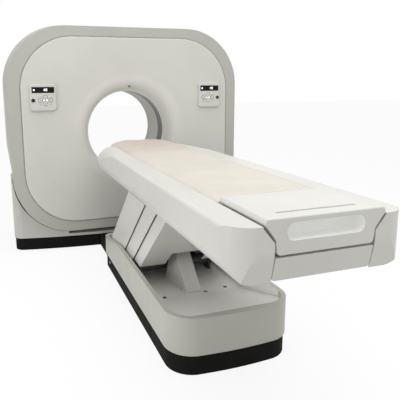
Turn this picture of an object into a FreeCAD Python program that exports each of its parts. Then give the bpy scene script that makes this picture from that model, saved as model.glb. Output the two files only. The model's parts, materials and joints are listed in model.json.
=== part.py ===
"""A tilting computed-tomography scanner: gantry, stand and lifting patient table.

Millimetres, +Z up.  The origin lies on the floor straight below the isocentre, the point where the
bore axis (Y) and the tilt axis (X) cross.  The patient table stands on the -Y side of the gantry.
"""
import FreeCAD, Part
import math
import os

from FreeCAD import Vector

# ---------------------------------------------------------------- gantry: driving dimensions
iso_height = 1010.0          # floor to isocentre
bore_radius = 350.0          # patient aperture, 700 mm across
cover_wall = 6.0             # moulded gantry covers
face_y = -250.0              # front face of the rim band
shell_rear_y = 550.0         # rear face of the gantry
panel_proud = 10.0           # front panel stands this far in front of the rim band
panel_inset = 96.0           # rim band's outer edge to the front panel
panel_top_z = 1801.0
panel_bottom_z = 261.0
panel_corner = 430.0
panel_depth = 34.0           # depth of the panel's returned edge
panel_edge_radius = 9.0
groove = 7.0                 # dark groove round the panel
ledge_lap = 50.0             # shell ledge behind the panel's edge
ledge_thickness = 5.0
lip_y = -59.0                # where the front flare meets the tunnel
window_end_y = 78.0          # scan window from the lip to here
tunnel_end_y = 355.0         # where the tunnel meets the rear flare
flare_width = 140.0          # how far the flares widen the bore
flare_power = 2.5            # 2 would be an ellipse, more is squarer
flare_steps = 9
rim_half_width = 996.0       # at the front face
rim_top_z = 1887.0
rim_corner = 480.0
rim_foot_z = 150.0           # the turned belly cuts the rim off above this
swell = 35.0                 # how much the shell widens behind the rim band
swell_top = 10.0
swell_length = 100.0
turret_radius = 872.0        # belly of the gantry, round about the tilt axis
turret_corner = 480.0
waist_start = 90.0           # the sides draw in between these distances from the tilt axis
waist_end = 350.0
waist_out = 5.0              # waist beyond the rim band's outer edge
waist_radius = 500.0
turret_gap = 4.0             # belly to stand cover

# ---------------------------------------------------------------- stand
stand_out = 20.0             # stand beyond the rim band's outer edge
stand_bow = 96.0             # the stand front bows forward by this much at the middle
stand_front_y = -103.0       # where the bow meets the stand's sides
stand_rear_y = 520.0
stand_corner = 90.0
stand_bow_radius = 4600.0
cheek_top_z = 588.0
stand_wall = 5.0
strip_z = 132.0              # low strip below the belly at the front
strip_half_width = 560.0
strip_depth_y = -40.0
plinth_height = 109.0
plinth_inset = 8.0
plinth_ground_gap = 3.0
base_plate_thickness = 25.0
base_plate_front_y = -60.0
base_plate_rear_y = 400.0
cover_flange = 22.0          # inward flange that rests on the plinth
anchor_radius = 11.0
anchor_spacing_x = 1700.0
anchor_spacing_y = 380.0
anchor_centre_y = 170.0
upright_in = 16.0            # uprights inside the rim band's outer edge
upright_thickness = 65.0
upright_slot_gap = 10.0
slot_front_deg = -23.0       # belly slot, from straight down
slot_rear_deg = 50.0
trunnion_radius = 40.0
trunnion_clearance = 0.08
bearing_outer_radius = 62.0
hub_radius = 95.0            # bearing housing at the top of each upright
upright_foot_y = (40.0, 360.0)
upright_waist_y = (122.0, 190.0)
upright_waist_z = 350.0

# ---------------------------------------------------------------- tilt frame and rotor
frame_plate_y = 215.0
frame_plate_thickness = 40.0
frame_outer_radius = 810.0
frame_arm_gap = 35.0         # side arm to upright
frame_arm_thickness = 90.0
frame_arm_front_y = -70.0
frame_arm_half_height = 140.0
corner_post_in = 155.0       # stand-off posts inside the front panel's side edge
upper_post_dz = 640.0
lower_post_dz = -590.0
post_radius = 20.0
lug_radius = 45.0
race_outer_radius = 505.0
race_split_radius = 470.0
race_clearance = 0.8
rotor_hub_radius = 435.0
rotor_hub_wall = 15.0
rotor_hub_end_y = 340.0
rotor_plate_y = 130.0
rotor_plate_thickness = 25.0
rotor_radius = 750.0
rotor_rim_wall = 14.0
rotor_rim_y = (120.0, 178.0)
slip_ring_y = (275.0, 332.0)
slip_ring_radius = 480.0
brush_gap = 4.0
scan_plane_y = 10.0
focus_height = 545.0         # X-ray focus above the isocentre
detector_gap = 55.0          # aperture to detector face
detector_depth = 70.0
detector_half_angle = 25.0
detector_half_width = 60.0
tube_radius = 105.0
tube_height = 590.0
tube_front_y = -125.0
collimator_top = 483.0
collimator_bottom = 410.0
rotor_parts_front_y = -110.0
rotor_unit_chamfer = 12.0
generator_turn = 72.0        # degrees from the top towards +X
generator_inner = 470.0
generator_outer = 640.0
generator_width = 330.0
cooler_turn = -68.0
cooler_inner = 470.0
cooler_outer = 620.0
cooler_width = 300.0
fan_radius = 52.0
fan_step = 75.0
fan_depth = 30.0
weight_turn = 110.0
weight_inner = 520.0
weight_outer = 650.0
weight_width = 200.0
motor_offset = 636.0         # drive motor, to the right of and above the axis
motor_radius = 85.0
motor_length = 180.0
pulley_radius = 60.0
pulley_shaft_radius = 15.0
shaft_clearance = 0.08
belt_width = 26.0
belt_thickness = 3.0
belt_clearance = 0.5
belt_y = 150.0

# ---------------------------------------------------------------- gantry control panels
console_in = 173.0           # console centre inside the front panel's side edge
console_rise = 308.0         # console centre above the tilt axis
console_half_width = 102.0
console_half_height = 107.0
console_height = 20.0        # proud of the front panel
console_corner = 24.0
console_edge_radius = 6.0
display_half_width = 87.0
display_half_height = 23.0
display_rise = 59.0          # display above the console's centre
display_depth = 5.0
display_proud = 1.0
display_clearance = 0.5
button_radius = 14.0
button_clearance = 0.5
button_length = 14.0
button_proud = 4.0
stop_button_out = 79.0       # black button outside the console's centre
arrows_in = 16.0             # arrow cluster inside the console's centre
arrows_drop = 23.0           # and below it
arrow_step_x = 41.0
arrow_step_z = 25.0
lens_radius = 8.0
lens_y = (-232.0, -200.0)
lens_rise = 40.0             # lens above the top of the aperture

# ---------------------------------------------------------------- table base
base_half_width = 340.0
base_rear_y = -640.0
base_side_front_y = -2254.0  # where the sides meet the bowed front
base_nose = 24.0             # how far the front bows beyond that
base_rear_corner = 60.0
base_front_corner = 150.0
base_bow_radius = 2000.0
base_plinth_height = 108.0
base_rim_z = 305.0
base_rim_rear_z = 246.0
base_step_y = (-741.0, -1140.0)
base_wall = 5.0
rim_width = 26.0
deck_z = 160.0
deck_flat_end_y = -1750.0
deck_front_y = -2225.0
deck_front_z = 303.0
tray_front_rise = 60.0       # the cut of the tray climbs this much beyond its front
deck_radius = 300.0
well_rear_y = -668.0
well_front_y = -1160.0
deck_hole_radius = 14.0
deck_holes = ((-195.0, -1708.0), (69.0, -1712.0), (210.0, -1692.0))
deck_slot_y = (-1398.0, -1286.0)          # slots for the crank and the pivot ears
crank_slot_half = 46.0
ear_slot_clearance = 3.0
cover_slot_x = (290.0, 314.0)             # slots that the rear column cover dips into
cover_slot_end_y = -1262.0
cover_slot_low_z = 122.0
base_frame_half_width = 275.0
base_frame_plate = 12.0
base_frame_front_y = -2190.0
base_tab_y = (-760.0, -1380.0, -2000.0)   # tabs that carry the plinth
base_tab_width = 50.0
table_anchor_spacing_x = 480.0
table_anchor_spacing_y = 1280.0
table_anchor_y = -1430.0
duct_half_width = 290.0
duct_height = 104.0
duct_wall = 4.0

# ---------------------------------------------------------------- lifting parallelogram
arm_length = 870.0
arm_lean_deg = 49.5          # from upright, in the pose shown
arm_pivot_z = 225.0
rear_pivot_y = -883.0
front_pivot_y = -1342.0
arm_half_depth = 40.0
arm_plate = 13.0
rear_arm_x = 216.0           # inner faces: rear arm plates, then the ears, then the front arm plates
ear_x = 232.0
ear_thickness = 14.0
front_arm_x = 249.0
pivot_radius = 20.0
pivot_clearance = 0.08
open_pivot_clearance = 0.5   # upper end of the rear arm
ear_half_width = 55.0
ear_radius = 42.0
torque_tube_radius = 35.0
cross_tube_radius = 26.0
cross_tube_s = 520.0         # along the arms from the lower pivots
rear_cross_tube_s = 400.0
rear_web_alongs = (150.0, 530.0)      # webs that carry the rear column cover
rear_web_width = 45.0
crank_length = 150.0
crank_lead_deg = 13.5        # crank stands this far past straight down
crank_inner_x = 18.0
crank_plate = 20.0
crank_half_depth = 24.0
crank_pin_radius = 12.0
crosshead_clearance = 1.0
crosshead_wall = 13.0
crosshead_half_width = 16.0
crosshead_half_height = 38.0
crosshead_slot_half = 24.0
rod_radius = 14.0
rod_clearance = 0.1
rod_end_y = -1720.0
actuator_y = -1570.0
gearbox_half = 48.0
gearbox_top_z = 128.0
lift_motor_radius = 38.0
lift_motor_length = 150.0
column_wall = 4.0
rear_cover_x = 304.0         # outer faces of the three nested column covers
middle_cover_x = 297.0
front_cover_x = 290.0
rear_cover_span = (-139.0, 100.0)     # square to the arm, from its pivots, + towards the gantry
middle_cover_span = (32.0, 190.0)
front_cover_span = (-64.0, 60.0)
column_top_z = 735.0
rear_face_top_z = 700.0
rear_cover_bottom_z = 247.0
middle_cover_bottom_z = 262.0
front_cover_bottom_z = 291.0
notch_half_width = 125.0
notch_top_z = 404.0
shroud_wall = 4.0
shroud_front_half = 47.0
shroud_rear_half = 98.0
shroud_corner = 14.0
shroud_profile = ((-1705.0, 160.0), (-1505.0, 350.0), (-1458.0, 380.0), (-1436.0, 345.0), (-1436.0, 160.0))
shroud_middle_y = -1480.0    # front and rear walls lie on either side of this

# ---------------------------------------------------------------- table top
table_wall = 5.0
table_half_width = 368.0
table_low_half_width = 358.0
table_head_half_width = 345.0
table_taper_y = -820.0
table_top_z = 946.0
table_bottom_z = 738.0
table_foot_y = -2895.0
foot_lean = 22.0             # the foot end leans back by this much at its lower edge
foot_lean_z = 838.0          # from here down
foot_lean_radius = 160.0
table_head_y = -405.0
table_foot_corner = 110.0
table_head_corner = 70.0
shoulder_radius = 16.0
keel_radius = 95.0
head_corner = ((262.0, -1400.0, 0.0), (158.0, -500.0, 300.0), (130.0, -380.0, 0.0))   # radius, place
head_corner_x = 200.0        # the upper corners of the head end are rounded about these lines
head_corner_z = 775.0
nose_profile = ((-1008.0, 738.0, 300.0), (-717.0, 776.0, 300.0), (-455.0, 846.0, 150.0),
                (-405.0, 880.0, 60.0))
cradle_gap_x = 250.0         # inner edges of the side covers
end_gap_x = 206.0
end_gap_waist_z = 886.0      # the gap widens from here
end_gap_shoulder_z = 940.0   # to here
end_gap_depth = 61.0
belly_gap_x = 312.0
belly_front_y = -860.0
sill_z = 876.0               # head end of the covers under the cradle
split_gap = 0.5              # seam between the two side covers
rail_inner_x = 225.0
rail_outer_x = 275.0
rail_bottom_z = 848.0
rail_top_z = 880.0
rail_head_y = -500.0
rail_foot_y = -2800.0
member_bottom_z = 826.0      # cross members pass below the end housing of the cradle
member_top_z = 838.0
member_width = 60.0
member_y = (-2800.0, -1913.0, -1060.0, -790.0)
outrigger_y = (-2650.0, -1990.0, -1045.0)
panel_arm_x = 150.0          # arms that carry the foot panel
guide_x = 228.0
guide_width = 12.0
slide_clearance = 0.3
cradle_half_width = 246.0
cradle_top_z = 938.0
cradle_edge_z = 912.0
cradle_keel_z = 893.0
cradle_wall = 6.0
cradle_head_y = -460.0
cradle_foot_y = -2545.0
cradle_corner = 130.0        # plan corners of the head end
handle_top_z = 970.0
handle_shoulder_z = 950.0
handle_waist_z = 897.0
handle_bottom_z = 841.0
handle_top_half = 237.0
handle_shoulder_half = 244.0
handle_waist_half = 203.0
handle_bottom_half = 195.0
handle_wall = 6.0
handle_corner = 14.0
handle_waist_radius = 20.0
handle_shoulder_radius = 12.0
handle_top_radius = 8.0
handle_front_radius = 5.0
handle_rear_radius = 14.0
top_groove_half = 160.0
top_groove_width = 14.0
top_groove_depth = 4.0
top_groove_back = 65.0       # groove behind the front face
slot_half_length = 162.0
slot_low_z = 886.0
slot_high_z = 953.0
slot_depth = 75.0
foot_panel_top_z = 832.0
foot_panel_bottom_z = 744.0
foot_panel_top_half = 201.0
foot_panel_bottom_half = 203.0
foot_panel_depth = 50.0
foot_panel_wall = 5.0
pad_half_width = 240.0
pad_head_y = -474.0
pad_foot_y = -2536.0
pad_corner = 118.0
pad_edge_z = 951.0
pad_middle_z = 959.0
pad_clearance = 0.3
pad_channel_depth = 3.0
roller_half_length = 100.0
drive_roller_radius = 30.0
drive_roller_y = -640.0
roller_gap = 1.5             # roller to the underside of the cradle
roller_shaft_radius = 8.0
cradle_motor_radius = 26.0
cradle_motor_length = 70.0

# smaller details, in the order in which they are used
stand_bow_point = 12.0       # how far the bow's drawn corner lies ahead of the curve
upright_waist_radius = 60.0
hub_front_share = (0.94, 0.30) # where the upright's front edge leaves the hub: back and drop in hub radii
hub_rear_share = (0.98, 0.15)
tilt_gearbox_y = (-25.0, 85.0) # behind the hub
tilt_gearbox_z = (-40.0, 50.0) # about the tilt axis
tilt_motor_back = 48.0
tilt_motor_drop = 230.0
lug_start = 0.6              # share of the way to a post where its lug begins
arm_root = 60.0              # how far an arm's root reaches into the ring
tube_foot_half_width = 150.0
tube_foot_length = 60.0
tube_foot_half_height = 70.0
tube_socket_radius = 12.0
tube_socket_depth = 20.0
collimator_half_width = 120.0
collimator_front = 60.0      # ahead of the scan plane
slit_half_width = 100.0
slit_half_length = 20.0
brush_stem_half_width = 50.0
brush_stem_low = 620.0       # below the tilt axis
brush_half_width = 35.0
brush_length = 20.0
deck_ramp_radius = 60.0
duct_reach = (20.0, 40.0)    # into the table's and the stand's plinth
shroud_edge_radius = 6.0
strut_radius = 7.0
strut_places = ((200.0, 640.0), (20.0, -20.0)) # along and square to the front arms
shim_radius = 8.0
shim_along = (150.0, 620.0)
bearer_thickness = 12.0
bearer_half_height = 18.0
bearer_half_length = 20.0
outrigger_width = 40.0
outrigger_thickness = 12.0
panel_arm_width = 30.0
panel_arm_thickness = 26.0
panel_arm_lap = 20.0
long_gap_margin = 60.0       # ends of the covers left closed under the cradle
belly_gap_rear = 20.0
foot_panel_corner = 12.0
foot_panel_top_corner = 4.0
cradle_keel_round = 60.0     # where the hollow turns up, and its radius
cradle_edge_radius = 10.0
cradle_runner_end = 20.0
pad_keel_x = 64.0            # in from the pad's side, where its underside turns up
pad_edge_radius = 12.0
pad_shoulder = 9.0
pad_crown_radius = 200.0
pad_crown_x = 60.0
pad_channel_radius = 12.0
pad_channels = (0.25, 0.5, 0.75) # shares of the pad's length
cradle_motor_gap = 12.0
cradle_motor_y = (-60.0, 30.0) # about the roller's axis
cradle_motor_hanger = (30.0, 12.0) # length and height

# ---------------------------------------------------------------- derived places
panel_half_width = rim_half_width - panel_inset
waist_half_width = rim_half_width + waist_out
stand_half_width = rim_half_width + stand_out
upright_outer_x = rim_half_width - upright_in
upright_inner_x = upright_outer_x - upright_thickness
frame_arm_outer_x = upright_inner_x - frame_arm_gap
frame_arm_inner_x = frame_arm_outer_x - frame_arm_thickness
corner_post_x = panel_half_width - corner_post_in
console_x = panel_half_width - console_in
console_z = iso_height + console_rise
display_z = console_z + display_rise
stop_button_x = console_x + stop_button_out
arrows_x = console_x - arrows_in
arrows_z = console_z - arrows_drop
lens_z = iso_height + bore_radius + lens_rise
detector_radius = focus_height + bore_radius + detector_gap
panel_y = face_y - panel_proud
panel_rear_y = panel_y + panel_depth
lean = math.radians(arm_lean_deg)
arm_along = (-math.sin(lean), math.cos(lean))
arm_square = (math.cos(lean), math.sin(lean))
upper_pivot_z = arm_pivot_z + arm_length * arm_along[1]
rear_upper_y = rear_pivot_y + arm_length * arm_along[0]
front_upper_y = front_pivot_y + arm_length * arm_along[0]
crank_angle = math.radians(crank_lead_deg)
crank_pin_y = front_pivot_y - crank_length * math.sin(crank_angle)
crank_pin_z = arm_pivot_z - crank_length * math.cos(crank_angle)
cradle_clear_z = cradle_keel_z - roller_gap

X_AXIS = Vector(1, 0, 0)
Y_AXIS = Vector(0, 1, 0)
Z_AXIS = Vector(0, 0, 1)
PARTS = "parts"
FAR = 4000.0                 # reaches past every piece, for cutting tools
SIDES = (-1, 1)


# ---------------------------------------------------------------- helpers
def box(x, y, z):
    """A block from three (low, high) pairs."""
    size = [high - low for low, high in (x, y, z)]
    return Part.makeBox(*size, Vector(x[0], y[0], z[0]))


def rod(radius, start, end):
    """A round bar between two points."""
    line = Vector(*end) - Vector(*start)
    return Part.makeCylinder(radius, line.Length, Vector(*start), line)


def tube(outer, inner, start, end):
    """A round tube between two points."""
    return rod(outer, start, end).cut(rod(inner, start, end))


def mirrored(shape):
    """The mirror image across the middle plane."""
    return shape.mirror(Vector(0, 0, 0), X_AXIS)


def both(shape):
    """A shape and its mirror image."""
    return [shape, mirrored(shape)]


def flat(shapes):
    """Shapes and lists of shapes as one list."""
    found = []
    for shape in shapes:
        found.extend(flat(shape) if isinstance(shape, (list, tuple)) else [shape])
    return found


def fused(*shapes):
    """One solid from touching or overlapping shapes."""
    first, *rest = flat(shapes)
    return first.multiFuse(rest).removeSplitter() if rest else first


def cut(shape, *tools):
    """A shape with tools taken away."""
    return shape.cut(flat(tools))


def on_xz(y):
    """Places a flat outline on an upright plane across the machine."""
    return lambda u, v: Vector(u, y, v)


def on_xy(z):
    """Places a flat outline on a level plane."""
    return lambda u, v: Vector(u, v, z)


def on_yz(x):
    """Places a flat outline on an upright plane along the machine."""
    return lambda u, v: Vector(x, u, v)


def rounded_wire(corners, place):
    """A closed outline through (u, v, radius) corners, each corner rounded to its radius."""
    count = len(corners)
    ends = []
    for i, (u, v, radius) in enumerate(corners):
        corner = Vector(u, v, 0)
        before = (Vector(*corners[i - 1][:2], 0) - corner).normalize()
        after = (Vector(*corners[(i + 1) % count][:2], 0) - corner).normalize()
        half = before.getAngle(after) / 2
        if radius == 0 or half > math.pi / 2 - 1e-4:
            ends.append((corner, None, corner))
            continue
        run = radius / math.tan(half)
        inward = (before + after).normalize()
        middle = corner + inward * (radius / math.sin(half) - radius)
        ends.append((corner + before * run, middle, corner + after * run))
    edges = []
    for i, (start, middle, end) in enumerate(ends):
        if middle is not None:
            edges.append(Part.Arc(*[place(p.x, p.y) for p in (start, middle, end)]).toShape())
        following = ends[(i + 1) % count][0]
        if (following - end).Length > 1e-6:
            edges.append(Part.makeLine(place(end.x, end.y), place(following.x, following.y)))
    return Part.Wire(edges)


def slab(corners, place, depth):
    """A flat outline with rounded corners, carried off its plane by the depth vector."""
    return Part.Face(rounded_wire(corners, place)).extrude(depth)


def symmetric(right_side, middle=()):
    """Corners of an outline mirrored about u = 0 from those on its right side."""
    left = [(-u, v, r) for u, v, r in reversed(right_side)]
    return list(right_side) + list(middle) + left


def arm_point(pivot_y, along, square):
    """A point in the side view from its place along and square to an arm."""
    return (pivot_y + along * arm_along[0] + square * arm_square[0],
            arm_pivot_z + along * arm_along[1] + square * arm_square[1])


def turned(profile, closed_place, centre, axis, degrees=360):
    """A solid turned from a flat profile of (distance, station) corners."""
    return Part.Face(rounded_wire(profile, closed_place)).revolve(centre, axis, degrees)


# ---------------------------------------------------------------- gantry covers
def turret_corners(inset):
    """Right-hand half-section of the belly: X against distance from the tilt axis."""
    return [(rim_half_width + swell - inset, 0, 0),
            (rim_half_width + swell - inset, waist_start, waist_radius),
            (waist_half_width - inset, waist_end, waist_radius),
            (rim_half_width - inset, turret_radius - inset, turret_corner - inset)]


def turret_face(inset):
    """Half-section of the belly, lying level behind the tilt axis."""
    return Part.Face(rounded_wire(symmetric(turret_corners(inset)), on_xy(iso_height)))


def belly(inset):
    """The lower half of the gantry, turned about the tilt axis."""
    return turret_face(inset).revolve(Vector(0, 0, iso_height), -X_AXIS, 180)


def rim_wire(inset, grow_side, grow_top, y):
    """Outline of the gantry at one station along the bore."""
    half = rim_half_width + grow_side - inset
    top = rim_top_z + grow_top - inset
    corner = rim_corner + grow_top - inset
    return rounded_wire(symmetric([(half, rim_foot_z - 2 * grow_side, corner), (half, top, corner)]),
                        on_xz(y))


def gantry_body(inset, front_y, rear_y):
    """The closed form of the gantry, shrunk by an inset, between two planes."""
    swell_end_y = face_y + swell_length
    narrow = rim_wire(inset, 0, 0, face_y)
    wide = rim_wire(inset, swell, swell_top, swell_end_y)
    taper = Part.makeLoft([narrow, wide], True, True)
    barrel = Part.Face(wide).extrude(Y_AXIS * (shell_rear_y - swell_end_y))
    plan = turret_face(inset).extrude(Z_AXIS * FAR)
    round_form = fused(belly(inset), plan, plan.mirror(Vector(0, 0, 0), Y_AXIS))
    body = taper.fuse(barrel).removeSplitter().common(round_form)
    return body.common(box((-FAR, FAR), (front_y, rear_y), (0, FAR)))


def panel_corners(grow):
    """Outline of the front panel, grown outwards."""
    half = panel_half_width + grow
    return symmetric([(half, panel_bottom_z - grow, panel_corner + grow),
                      (half, panel_top_z + grow, panel_corner + grow)])


def flare_curve(lip, mouth, wall):
    """Points down a flare from the cover to the tunnel, set off by the wall thickness."""
    depth = mouth - lip
    points = []
    for i in range(flare_steps + 1):
        turn = math.pi / 2 * i / flare_steps
        radial = (flare_width - wall) * math.cos(turn) ** (2 / flare_power)
        axial = (abs(depth) - wall) * math.sin(turn) ** (2 / flare_power)
        points.append(Vector(bore_radius + flare_width - radial, lip + math.copysign(axial, depth),
                             iso_height))
    return points


def flare(lip, mouth):
    """A bell turned about the bore axis, from the tunnel out to a cover."""
    inner = flare_curve(lip, mouth, 0)
    outer = flare_curve(lip, mouth, cover_wall)
    edges = []
    for points in (inner, outer):
        curve = Part.BSplineCurve()
        curve.interpolate(points)
        edges.append(curve.toShape())
    edges.append(Part.makeLine(inner[0], outer[0]))
    edges.append(Part.makeLine(inner[-1], outer[-1]))
    face = Part.Face(Part.Wire(Part.__sortEdges__(edges)))
    return face.revolve(Vector(0, 0, iso_height), Y_AXIS, 360)


def bore_rod(radius, start_y, end_y):
    """A round bar on the bore axis."""
    return rod(radius, (0, start_y, iso_height), (0, end_y, iso_height))


def bore_tube(outer, inner, start_y, end_y):
    """A ring on the bore axis."""
    return bore_rod(outer, start_y, end_y).cut(bore_rod(inner, start_y, end_y))


def gantry_shell():
    """Rim band, sides, top and round belly, with the ledge that carries the front panel."""
    shell = cut(gantry_body(0, face_y, shell_rear_y - cover_wall),
                gantry_body(cover_wall, face_y + cover_wall, shell_rear_y))
    ledge_y = panel_rear_y + ledge_thickness
    sleeve = slab(panel_corners(groove + ledge_thickness), on_xz(face_y), Y_AXIS * (ledge_y - face_y))
    opening = slab(panel_corners(groove), on_xz(face_y), Y_AXIS * (panel_rear_y - face_y))
    window = slab(panel_corners(-ledge_lap), on_xz(face_y), Y_AXIS * (ledge_y - face_y))
    channel = channel_wall()
    solid = cut(fused(shell, sleeve, both(channel)), opening, window)
    return cut(solid, both(upright_sweep()))


def channel_wall():
    """Right-hand inner wall that closes the gantry off from the upright's channel."""
    outer_x = upright_inner_x - upright_slot_gap
    slice_x = box((outer_x - ledge_thickness, outer_x), (panel_rear_y, shell_rear_y - cover_wall),
                  (0, iso_height - frame_arm_half_height))
    return gantry_body(cover_wall / 2, face_y, shell_rear_y).common(slice_x)


def upright_sweep():
    """Space the right-hand upright needs in the belly over the whole tilt."""
    corners = [(0, iso_height, 0)]
    for angle in (slot_front_deg, slot_rear_deg):
        turn = math.radians(angle)
        corners.append((FAR * math.sin(turn), iso_height - FAR * math.cos(turn), 0))
    fan = slab(corners, on_yz(upright_inner_x - upright_slot_gap),
               X_AXIS * (upright_outer_x - upright_inner_x + 2 * upright_slot_gap))
    return fan.common(box((0, FAR), (face_y + cover_wall + ledge_thickness, FAR), (0, iso_height)))


def console_corners(inset):
    """Outline of one console housing, shrunk by an inset."""
    left = console_x - console_half_width + inset
    right = console_x + console_half_width - inset
    low = console_z - console_half_height + inset
    high = console_z + console_half_height - inset
    radius = console_corner - inset / 2
    return [(left, low, radius), (right, low, radius), (right, high, radius), (left, high, radius)]


def button_places():
    """Button names with their place on the right-hand console."""
    return {
        "stop": (stop_button_x, arrows_z),
        "up": (arrows_x, arrows_z + arrow_step_z),
        "down": (arrows_x, arrows_z - arrow_step_z),
        "inner": (arrows_x - arrow_step_x, arrows_z),
        "outer": (arrows_x + arrow_step_x, arrows_z),
    }


def console_front_y():
    """Front face of the console housings."""
    return panel_y - console_height


def display(clearance):
    """The window of one console."""
    front = console_front_y() - display_proud
    return box((console_x - display_half_width - clearance, console_x + display_half_width + clearance),
               (front, front + display_depth),
               (display_z - display_half_height - clearance, display_z + display_half_height + clearance))


def button(x, z):
    """One push button with the flange that keeps it in its hole."""
    front = console_front_y() - button_proud
    back = front + button_length
    cap = rod(button_radius, (x, front, z), (x, back, z))
    flange_y = console_front_y() + cover_wall + button_clearance
    flange = rod(button_radius + 2.5, (x, flange_y, z), (x, flange_y + 2, z))
    return fused(cap, flange)


def front_cover():
    """Front panel with its returned edge, flare and the two console housings."""
    outer = slab(panel_corners(0), on_xz(panel_y), Y_AXIS * panel_depth)
    rim = [e for e in outer.Edges if e.BoundBox.YMax < panel_y + 1e-3]
    outer = outer.makeFillet(panel_edge_radius, rim)
    hollow = slab(panel_corners(-cover_wall), on_xz(panel_y + cover_wall), Y_AXIS * panel_depth)
    front = console_front_y()
    housing = slab(console_corners(0), on_xz(front), Y_AXIS * (console_height + cover_wall))
    edge = [e for e in housing.Edges if e.BoundBox.YMax < front + 1e-3]
    housing = housing.makeFillet(console_edge_radius, edge)
    cavity = slab(console_corners(cover_wall), on_xz(front + cover_wall), Y_AXIS * console_height)
    panel = fused(cut(outer, hollow, bore_rod(bore_radius + flare_width, panel_y, panel_rear_y)),
                  flare(lip_y, panel_y), both(housing))
    holes = [rod(button_radius + button_clearance, (x, front - 1, z), (x, front + console_height, z))
             for x, z in button_places().values()]
    tools = [cavity, display(display_clearance)] + holes
    panel = cut(panel, tools, [mirrored(t) for t in tools])
    return cut(panel, rod(lens_radius, (0, lens_y[0], lens_z), (0, lens_y[1], lens_z)))


def rear_cover():
    """Rear panel with its flare."""
    plate = gantry_body(0, shell_rear_y - cover_wall, shell_rear_y)
    plate = plate.cut(bore_rod(bore_radius + flare_width, 0, shell_rear_y + 1))
    return fused(plate, flare(tunnel_end_y, shell_rear_y))


# ---------------------------------------------------------------- stand
def stand_corners(inset):
    """Plan of the stand with its bowed front."""
    half = stand_half_width - inset
    bow = stand_front_y - 2 * stand_bow - stand_bow_point + inset
    return symmetric([(half, stand_rear_y - inset, stand_corner - inset),
                      (half, stand_front_y + inset, stand_corner - inset)], [(0, bow, stand_bow_radius)])


def plan_slab(corners, low, high):
    """A plan outline carried up between two levels."""
    return slab(corners, on_xy(low), Z_AXIS * (high - low))


def stand_form(inset):
    """Closed form of the stand cover above the plinth."""
    form = plan_slab(stand_corners(inset), plinth_height + inset, cheek_top_z - inset)
    low = strip_half_width + inset
    step = box((-low, low), (-FAR, strip_depth_y + inset), (strip_z - inset, FAR))
    return cut(form, belly(-turret_gap - inset), step)


def upright_corners(grow):
    """Side view of one upright."""
    radius = upright_waist_radius
    (front_back, front_drop), (rear_back, rear_drop) = hub_front_share, hub_rear_share
    front = [(upright_foot_y[0] - grow, base_plate_thickness, 0),
             (upright_waist_y[0] - grow, upright_waist_z, radius),
             (-hub_radius * front_back - grow, iso_height - hub_radius * front_drop, 0)]
    rear = [(hub_radius * rear_back + grow, iso_height - hub_radius * rear_drop, 0),
            (upright_waist_y[1] + grow, upright_waist_z, radius),
            (upright_foot_y[1] + grow, base_plate_thickness, 0)]
    return front + rear


def stand_cover():
    """Moulded stand cover with the cheeks, open where the uprights pass."""
    skin = cut(stand_form(0), stand_form(stand_wall))
    skin = cut(skin, plan_slab(stand_corners(cover_flange), plinth_height - 1, plinth_height + stand_wall))
    way = slab(upright_corners(upright_slot_gap), on_yz(upright_inner_x - upright_slot_gap),
               X_AXIS * (upright_outer_x - upright_inner_x + 2 * upright_slot_gap))
    return cut(skin, both(way))


def gantry_plinth():
    """Dark kick plinth round the stand."""
    outer = plan_slab(stand_corners(plinth_inset), plinth_ground_gap, plinth_height)
    return cut(outer, plan_slab(stand_corners(plinth_inset + stand_wall), 0, plinth_height),
               box((-duct_half_width, duct_half_width), (-FAR, 0), (0, duct_height)))


def upright():
    """The right-hand upright with its bearing seat."""
    blade = slab(upright_corners(0), on_yz(upright_inner_x), X_AXIS * (upright_outer_x - upright_inner_x))
    hub = rod(hub_radius, (upright_inner_x, 0, iso_height), (upright_outer_x, 0, iso_height))
    seat = rod(bearing_outer_radius, (0, 0, iso_height), (FAR, 0, iso_height))
    return cut(fused(blade, hub), seat)


def anchor_places(centre_y, spacing_x, spacing_y):
    """The four corners of a bolt pattern."""
    return [(sx * spacing_x / 2, centre_y + sy * spacing_y / 2) for sx in SIDES for sy in SIDES]


def gantry_anchors():
    """Anchor bolt places of the gantry."""
    return anchor_places(anchor_centre_y, anchor_spacing_x, anchor_spacing_y)


def table_anchors():
    """Anchor bolt places of the table."""
    return anchor_places(table_anchor_y, table_anchor_spacing_x, table_anchor_spacing_y)


def anchor_holes(places):
    """Drillings for the anchor bolts."""
    return [rod(anchor_radius, (x, y, -1), (x, y, base_plate_thickness + 1)) for x, y in places]


def stand_frame():
    """Steel base plate and the two uprights."""
    half = stand_half_width - plinth_inset - stand_wall
    plate = box((-half, half), (base_plate_front_y, base_plate_rear_y), (0, base_plate_thickness))
    plate = plate.common(plan_slab(stand_corners(plinth_inset + stand_wall), 0, base_plate_thickness))
    frame = fused(plate, both(upright()))
    return cut(frame, anchor_holes(gantry_anchors()))


def tilt_bearing():
    """Right-hand trunnion bearing."""
    return tube(bearing_outer_radius, trunnion_radius + trunnion_clearance,
                (upright_inner_x, 0, iso_height), (upright_outer_x, 0, iso_height))


def tilt_gearmotor():
    """Tilt gearbox and motor on the left upright, behind its hub."""
    middle = -(upright_inner_x + upright_outer_x) / 2
    half = (upright_outer_x - upright_inner_x) / 2
    gearbox = box((middle - half, middle + half), [hub_radius + y for y in tilt_gearbox_y],
                  [iso_height + z for z in tilt_gearbox_z])
    y = hub_radius + tilt_motor_back
    motor = rod(half, (middle, y, iso_height - tilt_motor_drop), (middle, y, iso_height + tilt_gearbox_z[0]))
    return cut(fused(gearbox, motor), mirrored(upright()))


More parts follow.
